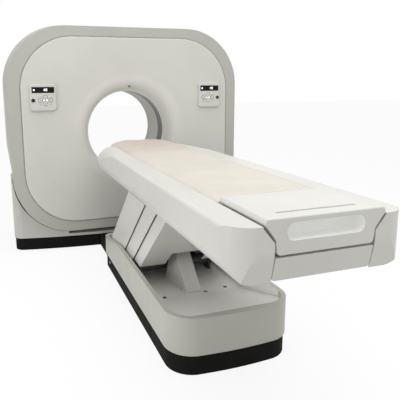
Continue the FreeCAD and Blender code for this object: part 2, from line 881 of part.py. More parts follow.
# ---------------------------------------------------------------- tilt frame
def stadium(start, end, radius, place, depth):
    """A straight bar with round ends between two flat points."""
    along = (Vector(*end, 0) - Vector(*start, 0)).normalize() * radius
    across = Vector(-along.y, along.x, 0)
    a, b = Vector(*start, 0) - along, Vector(*end, 0) + along
    corners = [(p.x, p.y, radius) for p in (a - across, b - across, b + across, a + across)]
    return slab(corners, place, depth)


def corner_posts():
    """Places of the stand-off posts on the right-hand side."""
    return [(corner_post_x, iso_height + dz) for dz in (upper_post_dz, lower_post_dz)]


def motor_place():
    """Centre of the rotor drive motor in the front view."""
    return motor_offset, iso_height + motor_offset


def frame_half():
    """Everything of the tilt frame that is repeated on both sides."""
    rear_y = frame_plate_y + frame_plate_thickness
    depth = Y_AXIS * frame_plate_thickness
    inside = gantry_body(cover_wall, face_y + cover_wall, shell_rear_y)
    pieces = []
    for x, z in corner_posts():
        inner = (x * lug_start, iso_height + (z - iso_height) * lug_start)
        pieces.append(stadium(inner, (x, z), lug_radius, on_xz(frame_plate_y), depth))
        pieces.append(rod(post_radius, (x, panel_rear_y + ledge_thickness, z), (x, frame_plate_y, z)))
        rear_post = rod(post_radius, (x, rear_y, z), (x, shell_rear_y - cover_wall, z))
        pieces.append(rear_post.common(inside))
    pieces.append(box((frame_arm_inner_x - arm_root, frame_arm_outer_x), (frame_plate_y, rear_y),
                      (iso_height - frame_arm_half_height, iso_height + frame_arm_half_height)))
    pieces.append(box((frame_arm_inner_x, frame_arm_outer_x), (frame_arm_front_y, frame_plate_y),
                      (iso_height - frame_arm_half_height, iso_height + frame_arm_half_height)))
    pieces.append(rod(trunnion_radius, (frame_arm_outer_x, 0, iso_height),
                      (upright_outer_x + 5, 0, iso_height)))
    return pieces


def tilt_frame():
    """Ring frame with side arms, trunnions and stand-off posts."""
    rear_y = frame_plate_y + frame_plate_thickness
    ring = bore_rod(frame_outer_radius, frame_plate_y, rear_y)
    x, z = motor_place()
    seat = rod(motor_radius + 20, (x, frame_plate_y, z), (x, rear_y, z))
    half = frame_half()
    frame = fused(ring, seat, half, [mirrored(s) for s in half])
    shaft_way = rod(pulley_shaft_radius + shaft_clearance, (x, frame_plate_y, z), (x, rear_y, z))
    return cut(frame, bore_rod(race_outer_radius, frame_plate_y, rear_y), shaft_way)


def rotor_drive_motor():
    """Motor behind the frame, bored for the pulley shaft."""
    x, z = motor_place()
    start = frame_plate_y + frame_plate_thickness
    body = rod(motor_radius, (x, start, z), (x, start + motor_length, z))
    bore = rod(pulley_shaft_radius + shaft_clearance, (x, start, z), (x, start + motor_length / 2, z))
    return cut(body, bore)


def drive_pulley():
    """Motor pulley on its shaft."""
    x, z = motor_place()
    wheel = rod(pulley_radius, (x, belt_y - belt_width / 2 - 2, z), (x, belt_y + belt_width / 2 + 2, z))
    shaft_end = frame_plate_y + frame_plate_thickness + motor_length / 2 - 2
    return fused(wheel, rod(pulley_shaft_radius, (x, belt_y, z), (x, shaft_end, z)))


def belt_loop(grow):
    """The space inside the belt's run, grown outwards."""
    big = rotor_radius + belt_clearance + grow
    small = pulley_radius + belt_clearance + grow
    x, z = motor_place()
    distance = math.hypot(x, z - iso_height)
    spread = math.acos((big - small) / distance)
    heading = math.atan2(z - iso_height, x)
    start = belt_y - belt_width / 2
    corners = []
    for side in SIDES:
        angle = heading + side * spread
        ray = (math.cos(angle), math.sin(angle))
        near = (big * ray[0], iso_height + big * ray[1], 0)
        far = (x + small * ray[0], z + small * ray[1], 0)
        corners += [near, far] if side < 0 else [far, near]
    corners.append((0, iso_height, 0))
    web = slab(corners, on_xz(start), Y_AXIS * belt_width)
    return fused(web, bore_rod(big, start, start + belt_width),
                 rod(small, (x, start, z), (x, start + belt_width, z)))


def drive_belt():
    """Flat belt round the rotor rim and the motor pulley."""
    return cut(belt_loop(belt_thickness), belt_loop(0))


# ---------------------------------------------------------------- rotor
def rotor_drum():
    """Rotor disc with its belt rim and hub."""
    disc = bore_rod(rotor_radius, rotor_plate_y, rotor_plate_y + rotor_plate_thickness)
    rim = bore_tube(rotor_radius, rotor_radius - rotor_rim_wall, *rotor_rim_y)
    hub = bore_rod(rotor_hub_radius, rotor_plate_y, rotor_hub_end_y)
    bore = bore_rod(rotor_hub_radius - rotor_hub_wall, rotor_plate_y - 1, rotor_hub_end_y + 1)
    return cut(fused(disc, rim, hub), bore)


def xray_tube():
    """Tube housing with its mounting feet, above the bore."""
    z = iso_height + tube_height
    housing = rod(tube_radius, (0, tube_front_y, z), (0, rotor_plate_y, z))
    feet = box((-tube_foot_half_width, tube_foot_half_width),
               (rotor_plate_y - tube_foot_length, rotor_plate_y),
               (z - tube_foot_half_height, z + tube_foot_half_height))
    socket = rod(tube_socket_radius, (0, tube_front_y, z), (0, tube_front_y + tube_socket_depth, z))
    return cut(fused(housing, feet), socket)


def collimator():
    """Box with a slit under the tube."""
    body = box((-collimator_half_width, collimator_half_width),
               (scan_plane_y - collimator_front, rotor_plate_y),
               (iso_height + collimator_bottom, iso_height + collimator_top))
    slit = box((-slit_half_width, slit_half_width),
               (scan_plane_y - slit_half_length, scan_plane_y + slit_half_length),
               (iso_height, iso_height + tube_height))
    return cut(body, slit)


def detector_arc():
    """Curved detector centred on the focus, with its bracket to the disc."""
    focus_z = iso_height + focus_height
    low_y = scan_plane_y - detector_half_width
    ring = tube(detector_radius + detector_depth, detector_radius, (0, low_y, focus_z),
                (0, rotor_plate_y, focus_z))
    reach = 2 * detector_radius
    spread = reach * math.tan(math.radians(detector_half_angle))
    wedge = slab([(0, focus_z, 0), (-spread, focus_z - reach, 0), (spread, focus_z - reach, 0)],
                 on_xz(low_y), Y_AXIS * (rotor_plate_y - low_y))
    return ring.common(wedge)


def rotor_box(centre_angle, radial, width):
    """A box-like unit on the rotor disc, its long side along the rim."""
    unit = box((-width / 2, width / 2), (rotor_parts_front_y, rotor_plate_y),
               (iso_height + radial[0], iso_height + radial[1]))
    unit = unit.makeChamfer(rotor_unit_chamfer,
                            [e for e in unit.Edges if e.BoundBox.YLength > rotor_unit_chamfer])
    unit.rotate(Vector(0, 0, iso_height), Y_AXIS, centre_angle)
    return unit


def hv_generator():
    """High-voltage unit on the right."""
    return rotor_box(generator_turn, (generator_inner, generator_outer), generator_width)


def tube_cooler():
    """Cooler with its fan openings on the left."""
    body = rotor_box(cooler_turn, (cooler_inner, cooler_outer), cooler_width)
    level = iso_height + (cooler_inner + cooler_outer) / 2
    fans = [rod(fan_radius, (x, rotor_parts_front_y - 1, level), (x, rotor_parts_front_y + fan_depth, level))
            for x in (-fan_step, fan_step)]
    for fan in fans:
        fan.rotate(Vector(0, 0, iso_height), Y_AXIS, cooler_turn)
    return cut(body, fans)


def counterweight():
    """Balance weights at the lower corners, one on each side."""
    return [rotor_box(side * weight_turn, (weight_inner, weight_outer), weight_width) for side in SIDES]


def brush_block():
    """Brush holder on the frame, reaching over the slip ring."""
    low = slip_ring_y[0]
    rear_y = frame_plate_y + frame_plate_thickness
    inner = slip_ring_radius + brush_gap
    root_z = iso_height - inner - brush_length
    return fused(box((-brush_stem_half_width, brush_stem_half_width), (rear_y, slip_ring_y[1]),
                     (iso_height - brush_stem_low, root_z)),
                 box((-brush_half_width, brush_half_width), (low, slip_ring_y[1]),
                     (root_z, iso_height - inner)))


# ---------------------------------------------------------------- table base
def base_corners(inset):
    """Plan of the table base with its bowed front."""
    half = base_half_width - inset
    return symmetric([(half, base_rear_y - inset, base_rear_corner - inset),
                      (half, base_side_front_y + inset, base_front_corner - inset)],
                     [(0, base_side_front_y - base_nose + inset, base_bow_radius)])


def base_form(inset):
    """Closed form of the base cover above its plinth."""
    form = plan_slab(base_corners(inset), base_plinth_height + inset, base_rim_z - inset)
    step_start, step_end = base_step_y
    side = [(FAR, base_rim_rear_z - inset, 0), (step_start, base_rim_rear_z - inset, deck_radius),
            (step_end, base_rim_z - inset, deck_radius), (base_side_front_y, base_rim_z - inset, 0),
            (base_side_front_y, FAR, 0), (FAR, FAR, 0)]
    return form.cut(slab(side, on_yz(-FAR), X_AXIS * 2 * FAR))


def tray_form(grow):
    """The space of the tray above its deck, with the open well at its rear."""
    column = plan_slab(base_corners(rim_width - grow), 0, FAR)
    side = [(well_rear_y + grow, 0, 0), (well_rear_y + grow, FAR, 0), (-FAR, FAR, 0),
            (-FAR, deck_front_z + tray_front_rise, 0), (deck_front_y, deck_front_z - grow, deck_ramp_radius),
            (deck_flat_end_y, deck_z - grow, deck_radius), (well_front_y - grow, deck_z - grow, 0),
            (well_front_y - grow, 0, 0)]
    return column.common(slab(side, on_yz(-FAR), X_AXIS * 2 * FAR))


def table_base_cover():
    """Base cover: side rims, ramped front, tray deck and well."""
    solid = cut(base_form(0), tray_form(0))
    hollow = cut(base_form(base_wall), tray_form(base_wall))
    below = plan_slab(base_corners(cover_flange), base_plinth_height - 1, base_plinth_height + base_wall)
    hollow = hollow.fuse(below.cut(tray_form(base_wall)))
    below_deck = (deck_z - base_wall - 1, deck_z + 1)
    crank_slot = box((-crank_slot_half, crank_slot_half), deck_slot_y, below_deck)
    ear_slot = box((ear_x - ear_slot_clearance, ear_x + ear_thickness + ear_slot_clearance), deck_slot_y,
                   below_deck)
    cover_slot = box(cover_slot_x, (cover_slot_end_y, well_front_y + 1), (cover_slot_low_z, deck_z + 1))
    slots = [crank_slot] + both(ear_slot) + both(cover_slot)
    drains = [rod(deck_hole_radius, (x, y, deck_z - base_wall - 1), (x, y, deck_z + 1))
              for x, y in deck_holes]
    return cut(solid, hollow, slots, drains)


def table_plinth():
    """Dark kick plinth round the table base."""
    outer = plan_slab(base_corners(plinth_inset), plinth_ground_gap, base_plinth_height)
    return cut(outer, plan_slab(base_corners(plinth_inset + base_wall), 0, base_plinth_height),
               box((-duct_half_width, duct_half_width), (base_rear_y - base_rear_corner, FAR),
                   (0, duct_height)))


def docking_duct():
    """Duct on the floor between the gantry and the table base."""
    rear = stand_front_y - stand_bow + plinth_inset + duct_reach[1]
    front = base_rear_y - plinth_inset - duct_reach[0]
    outer = box((-duct_half_width, duct_half_width), (front, rear), (plinth_ground_gap, duct_height))
    inner = box((-duct_half_width + duct_wall, duct_half_width - duct_wall), (front - 1, rear + 1),
                (0, duct_height - duct_wall))
    return outer.cut(inner)


def ear(pivot_y):
    """One pivot ear standing on the base plate."""
    corners = [(pivot_y - ear_half_width, 0, 0), (pivot_y + ear_half_width, 0, 0),
               (pivot_y + ear_radius, arm_pivot_z + ear_radius, ear_radius),
               (pivot_y - ear_radius, arm_pivot_z + ear_radius, ear_radius)]
    return slab(corners, on_yz(ear_x), X_AXIS * ear_thickness)


def table_base_frame():
    """Steel base plate with the pivot ears and the bearing of the lift rod."""
    plate = box((-base_frame_half_width, base_frame_half_width),
                (base_frame_front_y, base_rear_y - 3 * base_wall), (0, base_frame_plate))
    seat = box((-gearbox_half, gearbox_half), (actuator_y - gearbox_half, actuator_y + gearbox_half),
               (0, crank_pin_z - gearbox_half))
    pin_ways = [rod(pivot_radius, (-FAR, rear_pivot_y, arm_pivot_z), (FAR, rear_pivot_y, arm_pivot_z)),
                rod(pivot_radius + pivot_clearance, (-FAR, front_pivot_y, arm_pivot_z),
                    (FAR, front_pivot_y, arm_pivot_z))]
    reach = base_half_width - plinth_inset - base_wall
    tabs = [box((-reach, reach), (y - base_tab_width / 2, y + base_tab_width / 2),
                (plinth_ground_gap, base_frame_plate)) for y in base_tab_y]
    frame = fused(plate, seat, tabs, both(ear(rear_pivot_y)), both(ear(front_pivot_y)))
    return cut(frame, pin_ways, anchor_holes(table_anchors()))


def base_pivot_pins():
    """Pins of the rear arms, one in each ear."""
    return both(rod(pivot_radius, (rear_arm_x - 2, rear_pivot_y, arm_pivot_z),
                    (ear_x + ear_thickness, rear_pivot_y, arm_pivot_z)))


def shroud_form(inset):
    """Form of the leaning fairing over the lift drive."""
    profile = []
    for y, z in shroud_profile:
        inner_y = y + math.copysign(inset, shroud_middle_y - y)
        profile.append((inner_y, z - inset, shroud_edge_radius) if z > deck_z else (inner_y, z, 0))
    front_y, rear_y = profile[0][0], profile[-1][0]
    plan = [(shroud_rear_half - inset, rear_y, 0), (shroud_front_half - inset, front_y, shroud_corner)]
    side = slab(profile, on_yz(-FAR), X_AXIS * 2 * FAR)
    (foot_y, foot_z), (brow_y, brow_z) = shroud_profile[:2]
    rise = Vector(0, brow_y - foot_y, brow_z - foot_z) * 2
    return side.common(slab(symmetric(plan), on_xy(deck_z), rise))


def lift_shroud():
    """Fairing over the lift drive, standing on the deck."""
    shell = cut(shroud_form(0), shroud_form(shroud_wall))
    return shell.cut(plan_slab(symmetric([(shroud_rear_half - shroud_wall,
                                           shroud_profile[-1][0] - shroud_wall, 0),
                                          (shroud_front_half - shroud_wall,
                                           shroud_profile[0][0] + shroud_wall, 0)]),
                               deck_z - 1, deck_z + shroud_wall))


def lift_gearmotor():
    """Screw gearbox with its motor beside it, bored for the lift rod."""
    gearbox = box((-gearbox_half, gearbox_half), (actuator_y - gearbox_half, actuator_y + gearbox_half),
                  (crank_pin_z - gearbox_half, gearbox_top_z))
    motor = rod(lift_motor_radius, (gearbox_half, actuator_y, crank_pin_z),
                (gearbox_half + lift_motor_length, actuator_y, crank_pin_z))
    way = rod(rod_radius + rod_clearance, (0, rod_end_y, crank_pin_z), (0, rear_pivot_y, crank_pin_z))
    return cut(fused(gearbox, motor), way)


# ---------------------------------------------------------------- lift arms
def arm_plates(pivot_y, inner_x):
    """Both plates of one arm, from its lower to its upper pivot."""
    top = arm_point(pivot_y, arm_length, 0)
    plate = stadium((pivot_y, arm_pivot_z), top, arm_half_depth, on_yz(inner_x), X_AXIS * arm_plate)
    return both(plate)


def cross_rod(radius, half_length, centre):
    """A bar across the machine at a place in the side view."""
    y, z = centre
    return rod(radius, (-half_length, y, z), (half_length, y, z))


def rear_lift_arm():
    """Rear arm pair with its cross tube and the webs that carry the rear column cover."""
    tube_bar = cross_rod(cross_tube_radius, rear_arm_x + 1, arm_point(rear_pivot_y, rear_cross_tube_s, 0))
    arm = fused(arm_plates(rear_pivot_y, rear_arm_x), tube_bar, rear_webs())
    return cut(arm, cross_rod(pivot_radius + pivot_clearance, FAR, (rear_pivot_y, arm_pivot_z)),
               cross_rod(pivot_radius + open_pivot_clearance, FAR, (rear_upper_y, upper_pivot_z)))


def rear_webs():
    """Webs from the rear arm plates back to the rear face of their column cover."""
    reach = rear_cover_span[1] - column_wall
    webs = []
    for along in rear_web_alongs:
        ends = [(along, 0), (along + rear_web_width, 0), (along + rear_web_width, reach), (along, reach)]
        corners = [arm_point(rear_pivot_y, *end) + (0,) for end in ends]
        webs += both(slab(corners, on_yz(rear_arm_x), X_AXIS * arm_plate))
    return webs


def column_struts(pivot_y, inner_x, outer_x, alongs, squares):
    """Small bars from the arm plates out to the column cover they carry."""
    struts = []
    for along in alongs:
        for square in squares:
            y, z = arm_point(pivot_y, along, square)
            struts += both(rod(strut_radius, (inner_x - 1, y, z), (outer_x, y, z)))
    return struts


def front_lift_arm():
    """Front arm pair with its shaft, cross tube and the crank of the lift drive."""
    shaft = cross_rod(pivot_radius, front_arm_x + arm_plate, (front_pivot_y, arm_pivot_z))
    torque_tube = cross_rod(torque_tube_radius, ear_x - 2, (front_pivot_y, arm_pivot_z))
    cross_tube = cross_rod(cross_tube_radius, front_arm_x + 1, arm_point(front_pivot_y, cross_tube_s, 0))
    crank = stadium((front_pivot_y, arm_pivot_z), (crank_pin_y, crank_pin_z), crank_half_depth,
                    on_yz(crank_inner_x), X_AXIS * crank_plate)
    pin = cross_rod(crank_pin_radius, crank_inner_x + crank_plate, (crank_pin_y, crank_pin_z))
    struts = column_struts(front_pivot_y, front_arm_x + arm_plate, front_cover_x - column_wall,
                           *strut_places)
    arm = fused(arm_plates(front_pivot_y, front_arm_x), shaft, torque_tube, cross_tube, both(crank), pin,
                struts)
    return cut(arm, cross_rod(pivot_radius + pivot_clearance, FAR, (front_upper_y, upper_pivot_z)))


def lift_rod():
    """Screw rod with the crosshead that the crank pin rides in."""
    height = crosshead_half_height
    half = crank_pin_radius + crosshead_clearance
    block = box((-crosshead_half_width, crosshead_half_width),
                (crank_pin_y - half - crosshead_wall, crank_pin_y + half + crosshead_wall),
                (crank_pin_z - height, crank_pin_z + height))
    slot = box((-FAR, FAR), (crank_pin_y - half, crank_pin_y + half),
               (crank_pin_z - crosshead_slot_half, crank_pin_z + crosshead_slot_half))
    bar = rod(rod_radius, (0, rod_end_y, crank_pin_z), (0, crank_pin_y - half - 2, crank_pin_z))
    return cut(fused(block, bar), slot)


def column_region(pivot_y, span, low_z, high_z):
    """Side view of a column cover: a strip along the arm cut level at both ends."""
    low, high = span
    corners = []
    for square, level in ((low, low_z), (high, low_z), (high, high_z), (low, high_z)):
        along = (level - arm_pivot_z - square * arm_square[1]) / arm_along[1]
        corners.append(arm_point(pivot_y, along, square) + (0,))
    return corners


def cover_plates(region, outer_x):
    """Both side plates of a column cover."""
    return both(slab(region, on_yz(outer_x - column_wall), X_AXIS * column_wall))


def column_cover_rear():
    """Outer column cover with its rear face."""
    sides = cover_plates(column_region(rear_pivot_y, rear_cover_span, rear_cover_bottom_z, column_top_z),
                         rear_cover_x)
    back = (rear_cover_span[1] - column_wall, rear_cover_span[1])
    face = slab(column_region(rear_pivot_y, back, rear_cover_bottom_z, rear_face_top_z),
                on_yz(-rear_cover_x + 1), X_AXIS * 2 * (rear_cover_x - 1))
    return fused(sides, face)


def column_cover_middle():
    """Middle column cover, joined over the front arms by two cross strips."""
    sides = cover_plates(column_region(front_pivot_y, middle_cover_span, middle_cover_bottom_z, column_top_z),
                         middle_cover_x)
    inner_edge = front_cover_span[1] - shim_radius
    shims = []
    for along in shim_along:
        y, z = arm_point(front_pivot_y, along, (middle_cover_span[0] + inner_edge) / 2)
        shims += both(rod(shim_radius, (front_cover_x, y, z), (middle_cover_x - column_wall, y, z)))
    return [fused(sides[0], shims[0], shims[2]), fused(sides[1], shims[1], shims[3])]


def column_cover_front():
    """Inner column cover with its front face, notched over the fairing."""
    sides = cover_plates(column_region(front_pivot_y, front_cover_span, front_cover_bottom_z, column_top_z),
                         front_cover_x)
    front = (front_cover_span[0], front_cover_span[0] + column_wall)
    face = slab(column_region(front_pivot_y, front, front_cover_bottom_z, column_top_z),
                on_yz(-front_cover_x + 1), X_AXIS * 2 * (front_cover_x - 1))
    notch = box((-notch_half_width, notch_half_width), (-FAR, FAR), (0, notch_top_z))
    return fused(sides, face.cut(notch))


def table_pivot_pins():
    """Upper pivot pins: inner ones carry the rear arms, outer ones the front arms."""
    rear = rod(pivot_radius, (rear_arm_x - 2, rear_upper_y, upper_pivot_z),
               (ear_x + ear_thickness, rear_upper_y, upper_pivot_z))
    front = rod(pivot_radius, (ear_x, front_upper_y, upper_pivot_z),
                (front_arm_x + arm_plate + 2, front_upper_y, upper_pivot_z))
    return both(rear) + both(front)


# ---------------------------------------------------------------- table top
def bracket(pivot_y):
    """Hanging bracket of the table frame at one upper pivot."""
    corners = [(pivot_y - ear_radius, upper_pivot_z - ear_radius, ear_radius),
               (pivot_y + ear_radius, upper_pivot_z - ear_radius, ear_radius),
               (pivot_y + ear_half_width, rail_bottom_z, 0), (pivot_y - ear_half_width, rail_bottom_z, 0)]
    return slab(corners, on_yz(ear_x), X_AXIS * ear_thickness)


def table_frame():
    """Rails, low cross members, hanging brackets and the carriers of the covers."""
    rail = box((rail_inner_x, rail_outer_x), (rail_foot_y, rail_head_y), (rail_bottom_z, rail_top_z))
    members = []
    blocks = []
    for y in member_y:
        members.append(box((-rail_outer_x, rail_outer_x), (y, y + member_width),
                           (member_bottom_z, member_top_z)))
        blocks.append(box((rail_inner_x, rail_outer_x), (y, y + member_width), (member_top_z, rail_bottom_z)))
    y, z = drive_roller_y, cradle_clear_z - drive_roller_radius
    bearer = cut(box((rail_inner_x - bearer_thickness, rail_inner_x),
                     (y - bearer_half_length, y + bearer_half_length),
                     (z - bearer_half_height, z + bearer_half_height)),
                 cross_rod(roller_shaft_radius + shaft_clearance, FAR, (y, z)))
    inside = table_form(table_wall)
    outriggers = [box((rail_outer_x, table_half_width), (y, y + outrigger_width),
                      (rail_bottom_z, rail_bottom_z + outrigger_thickness)).common(inside)
                  for y in outrigger_y]
    panel_arm = box((panel_arm_x, panel_arm_x + panel_arm_width), (table_foot_y, rail_foot_y + panel_arm_lap),
                    (member_bottom_z - panel_arm_thickness,
                     member_bottom_z)).common(foot_form(foot_panel_wall))
    side = [rail, bracket(rear_upper_y), bracket(front_upper_y), bearer, panel_arm] + outriggers + blocks
    pins = [cross_rod(pivot_radius, FAR, (y, upper_pivot_z)) for y in (rear_upper_y, front_upper_y)]
    return cut(fused(side, [mirrored(s) for s in side], members), pins)


def table_form(inset):
    """Closed form of the table top covers."""
    section = symmetric([(table_low_half_width - inset, table_bottom_z + inset, keel_radius - inset),
                         (table_half_width - inset, table_top_z - inset, shoulder_radius - inset)])
    start = table_foot_y + inset - 1
    beam = slab(section, on_xz(start), Y_AXIS * (table_head_y - inset - start))
    beam = beam.common(foot_form(inset))
    plan = symmetric([(table_half_width - inset, start, table_foot_corner - inset),
                      (table_half_width - inset, table_taper_y, 0),
                      (table_head_half_width - inset, table_head_y - inset, table_head_corner - inset)])
    floor_z = table_bottom_z - 1
    nose = [(-FAR, 0, 0), (-FAR, floor_z, 0), (nose_profile[0][0], floor_z, nose_profile[0][2])]
    nose += [(y, z + inset, radius) for y, z, radius in nose_profile[1:]]
    nose += [(FAR, nose_profile[-1][1] + inset, 0), (FAR, 0, 0)]
    under = slab(nose, on_yz(-FAR), X_AXIS * 2 * FAR)
    return cut(beam.common(plan_slab(plan, 0, FAR)), under, head_corners(inset))


def foot_form(inset):
    """Space behind the foot end, which leans back towards its lower edge."""
    face = table_foot_y + inset
    low_z = table_bottom_z - 2 * foot_lean
    low_y = face + foot_lean * (foot_lean_z - low_z) / (foot_lean_z - table_bottom_z)
    side = [(face, FAR, 0), (face, foot_lean_z, foot_lean_radius), (low_y, low_z, 0), (FAR, low_z, 0),
            (FAR, FAR, 0)]
    return slab(side, on_yz(-FAR), X_AXIS * 2 * FAR)


def head_corners(inset):
    """Spaces outside the rounded upper corners of the covers, growing towards the gantry."""
    profile = [(0, head_corner[0][1], 0)] + [(radius - inset, y, blend) for radius, y, blend in head_corner]
    profile.append((0, head_corner[-1][1], 0))
    cone = turned(profile, on_xy(head_corner_z), Vector(0, 0, head_corner_z), Y_AXIS)
    cone.translate(X_AXIS * head_corner_x)
    start, end = head_corner[0][1] + 1, head_corner[-1][1] - 1
    return both(box((head_corner_x, FAR), (start, end), (head_corner_z, FAR)).cut(cone))


def cradle_channel(grow):
    """Space between the covers for the cradle and the end housing."""
    gap = cradle_gap_x + grow
    end = end_gap_x + grow
    corners = symmetric([(end, 0, 0), (end, end_gap_waist_z, 0), (gap, end_gap_shoulder_z, 0), (gap, FAR, 0)])
    return slab(corners, on_xz(-FAR), Y_AXIS * 2 * FAR)


def side_covers():
    """Both side covers as one shell, before they are parted along the middle."""
    shell = cut(table_form(0), table_form(table_wall))
    end_y = table_foot_y + end_gap_depth
    lid = box((-cradle_gap_x, cradle_gap_x), (end_y, table_head_y + 1), (sill_z, FAR))
    long_gap = box((-cradle_gap_x, cradle_gap_x),
                   (table_foot_y + long_gap_margin, table_head_y - long_gap_margin),
                   (sill_z - long_gap_margin, FAR))
    end = cradle_channel(0).common(box((-FAR, FAR), (-FAR, end_y), (0, FAR)))
    belly_gap = box((-belly_gap_x, belly_gap_x), (table_foot_y + table_wall + belly_gap_rear, belly_front_y),
                    (0, table_bottom_z + keel_radius / 2))
    low_end = box((-end_gap_x, end_gap_x), (-FAR, end_y), (0, end_gap_waist_z))
    return cut(shell, lid, long_gap, end, belly_gap, low_end)


def side_cover(covers, side):
    """The side cover on one side: -1 is left, 1 is right."""
    near, far = sorted((side * split_gap / 2, side * FAR))
    return covers.common(box((near, far), (-FAR, FAR), (0, FAR)))


def foot_panel_corners(inset):
    """Front view of the fixed foot panel."""
    return symmetric([(foot_panel_bottom_half - inset, foot_panel_bottom_z + inset, foot_panel_corner),
                      (foot_panel_top_half - inset, foot_panel_top_z - inset, foot_panel_top_corner)])


def foot_panel():
    """Fixed panel below the end housing, a shallow tray open to the inside."""
    start = on_xz(table_foot_y - 1)
    outer = slab(foot_panel_corners(0), start, Y_AXIS * (foot_panel_depth + 1)).common(foot_form(0))
    inner = slab(foot_panel_corners(foot_panel_wall), start, Y_AXIS * (foot_panel_depth + 2))
    return outer.cut(inner.common(foot_form(foot_panel_wall)))


def head_plan(half, foot_y, head_y, corner):
    """Everything above a plan that is square at the foot and rounded at the head end."""
    return plan_slab(symmetric([(half, foot_y, 0), (half, head_y, corner)]), 0, FAR)


def cradle():
    """Long shallow tray that carries the patient."""
    keel_x = cradle_half_width - cradle_keel_round
    outer = symmetric([(keel_x, cradle_keel_z, cradle_keel_round),
                       (cradle_half_width, cradle_edge_z, cradle_edge_radius),
                       (cradle_half_width, cradle_top_z, 2)])
    inner = symmetric([(keel_x - 2, cradle_keel_z + cradle_wall, cradle_keel_round),
                       (cradle_half_width - cradle_wall, cradle_edge_z + cradle_wall, cradle_edge_radius - 2),
                       (cradle_half_width - cradle_wall, cradle_top_z + 1, 0)])
    run = Y_AXIS * (cradle_head_y - cradle_foot_y)
    wall = cradle_wall
    tray = slab(outer, on_xz(cradle_foot_y), run)
    tray = tray.common(head_plan(cradle_half_width, cradle_foot_y, cradle_head_y, cradle_corner))
    hollow = slab(inner, on_xz(cradle_foot_y), run)
    hollow = hollow.common(head_plan(cradle_half_width - wall, cradle_foot_y + wall, cradle_head_y - wall,
                                     cradle_corner - wall))
    runner = box((guide_x, guide_x + guide_width),
                 (cradle_foot_y + cradle_runner_end, cradle_head_y - cradle_corner),
                 (rail_top_z + slide_clearance, cradle_edge_z + 2))
    runner = runner.cut(tray)
    return fused(cut(tray, hollow), both(runner))


def handle_corners(inset):
    """Front view of the end housing."""
    return symmetric([(handle_bottom_half - inset, handle_bottom_z + inset, handle_corner),
                      (handle_waist_half - inset, handle_waist_z, handle_waist_radius),
                      (handle_shoulder_half - inset, handle_shoulder_z, handle_shoulder_radius),
                      (handle_top_half - inset, handle_top_z - inset, handle_top_radius)])


def cradle_end_housing():
    """End housing of the cradle with the handle slot."""
    length = cradle_foot_y - table_foot_y
    outer = slab(handle_corners(0), on_xz(table_foot_y), Y_AXIS * length)
    side = [(table_foot_y, 0, 0), (cradle_foot_y, 0, 0), (cradle_foot_y, handle_top_z, handle_rear_radius),
            (table_foot_y, handle_top_z, handle_front_radius)]
    outer = outer.common(slab(side, on_yz(-FAR), X_AXIS * 2 * FAR))
    inner = slab(handle_corners(handle_wall), on_xz(table_foot_y + handle_wall),
                 Y_AXIS * (length - 2 * handle_wall))
    groove_y = table_foot_y + top_groove_back
    top_groove = stadium((-top_groove_half, groove_y), (top_groove_half, groove_y), top_groove_width / 2,
                         on_xy(handle_top_z - top_groove_depth), Z_AXIS * handle_wall)
    middle = (slot_low_z + slot_high_z) / 2
    radius = (slot_high_z - slot_low_z) / 2
    run = slot_half_length - radius
    pocket = stadium((-run, middle), (run, middle), radius, on_xz(table_foot_y), Y_AXIS * slot_depth)
    liner = stadium((-run, middle), (run, middle), radius + handle_wall, on_xz(table_foot_y),
                    Y_AXIS * (slot_depth + handle_wall))
    return cut(fused(cut(outer, inner), liner), pocket, top_groove)


def mattress_pad():
    """Foam pad in the tray: crowned edges, drawn-in sides and three cross channels."""
    half = pad_half_width
    low = cradle_edge_z + cradle_wall + pad_clearance
    keel = cradle_keel_z + cradle_wall + pad_clearance
    rim = half - pad_clearance
    section = [(half - pad_keel_x, keel, cradle_keel_round), (rim - 2, low + 3, pad_edge_radius - 4),
               (rim, (low + pad_edge_z) / 2 + 6, pad_edge_radius),
               (rim - pad_shoulder, pad_edge_z, pad_edge_radius),
               (rim - pad_crown_x, pad_middle_z - 1, pad_crown_radius)]
    run = pad_head_y - pad_foot_y
    pad = slab(symmetric(section, [(0, pad_middle_z, 0)]), on_xz(pad_foot_y), Y_AXIS * run)
    pad = pad.common(head_plan(rim, pad_foot_y, pad_head_y, pad_corner))
    z = pad_middle_z + pad_channel_radius - pad_channel_depth
    channels = [rod(pad_channel_radius, (-FAR, pad_foot_y + part * run, z), (FAR, pad_foot_y + part * run, z))
                for part in pad_channels]
    return cut(pad, channels)


def drive_roller():
    """The roller that drives the cradle, with its shaft ends."""
    place = (drive_roller_y, cradle_clear_z - drive_roller_radius)
    return fused(cross_rod(drive_roller_radius, roller_half_length, place),
                 cross_rod(roller_shaft_radius, rail_inner_x - 2, place))


def cradle_drive_motor():
    """Motor beside the drive roller, bored for its shaft."""
    z = cradle_clear_z - drive_roller_radius
    start = roller_half_length + cradle_motor_gap
    rear_y, front_y = (drive_roller_y + y for y in cradle_motor_y)
    hanger_length, hanger_height = cradle_motor_hanger
    body = box((start, start + cradle_motor_length), (rear_y, front_y),
               (rail_bottom_z + 3, z + cradle_motor_radius))
    hanger = box((start, rail_inner_x), (rear_y, rear_y + hanger_length),
                 (rail_bottom_z + 3, rail_bottom_z + hanger_height))
    way = rod(roller_shaft_radius + shaft_clearance, (0, drive_roller_y, z), (FAR, drive_roller_y, z))
    return cut(fused(body, hanger), way)


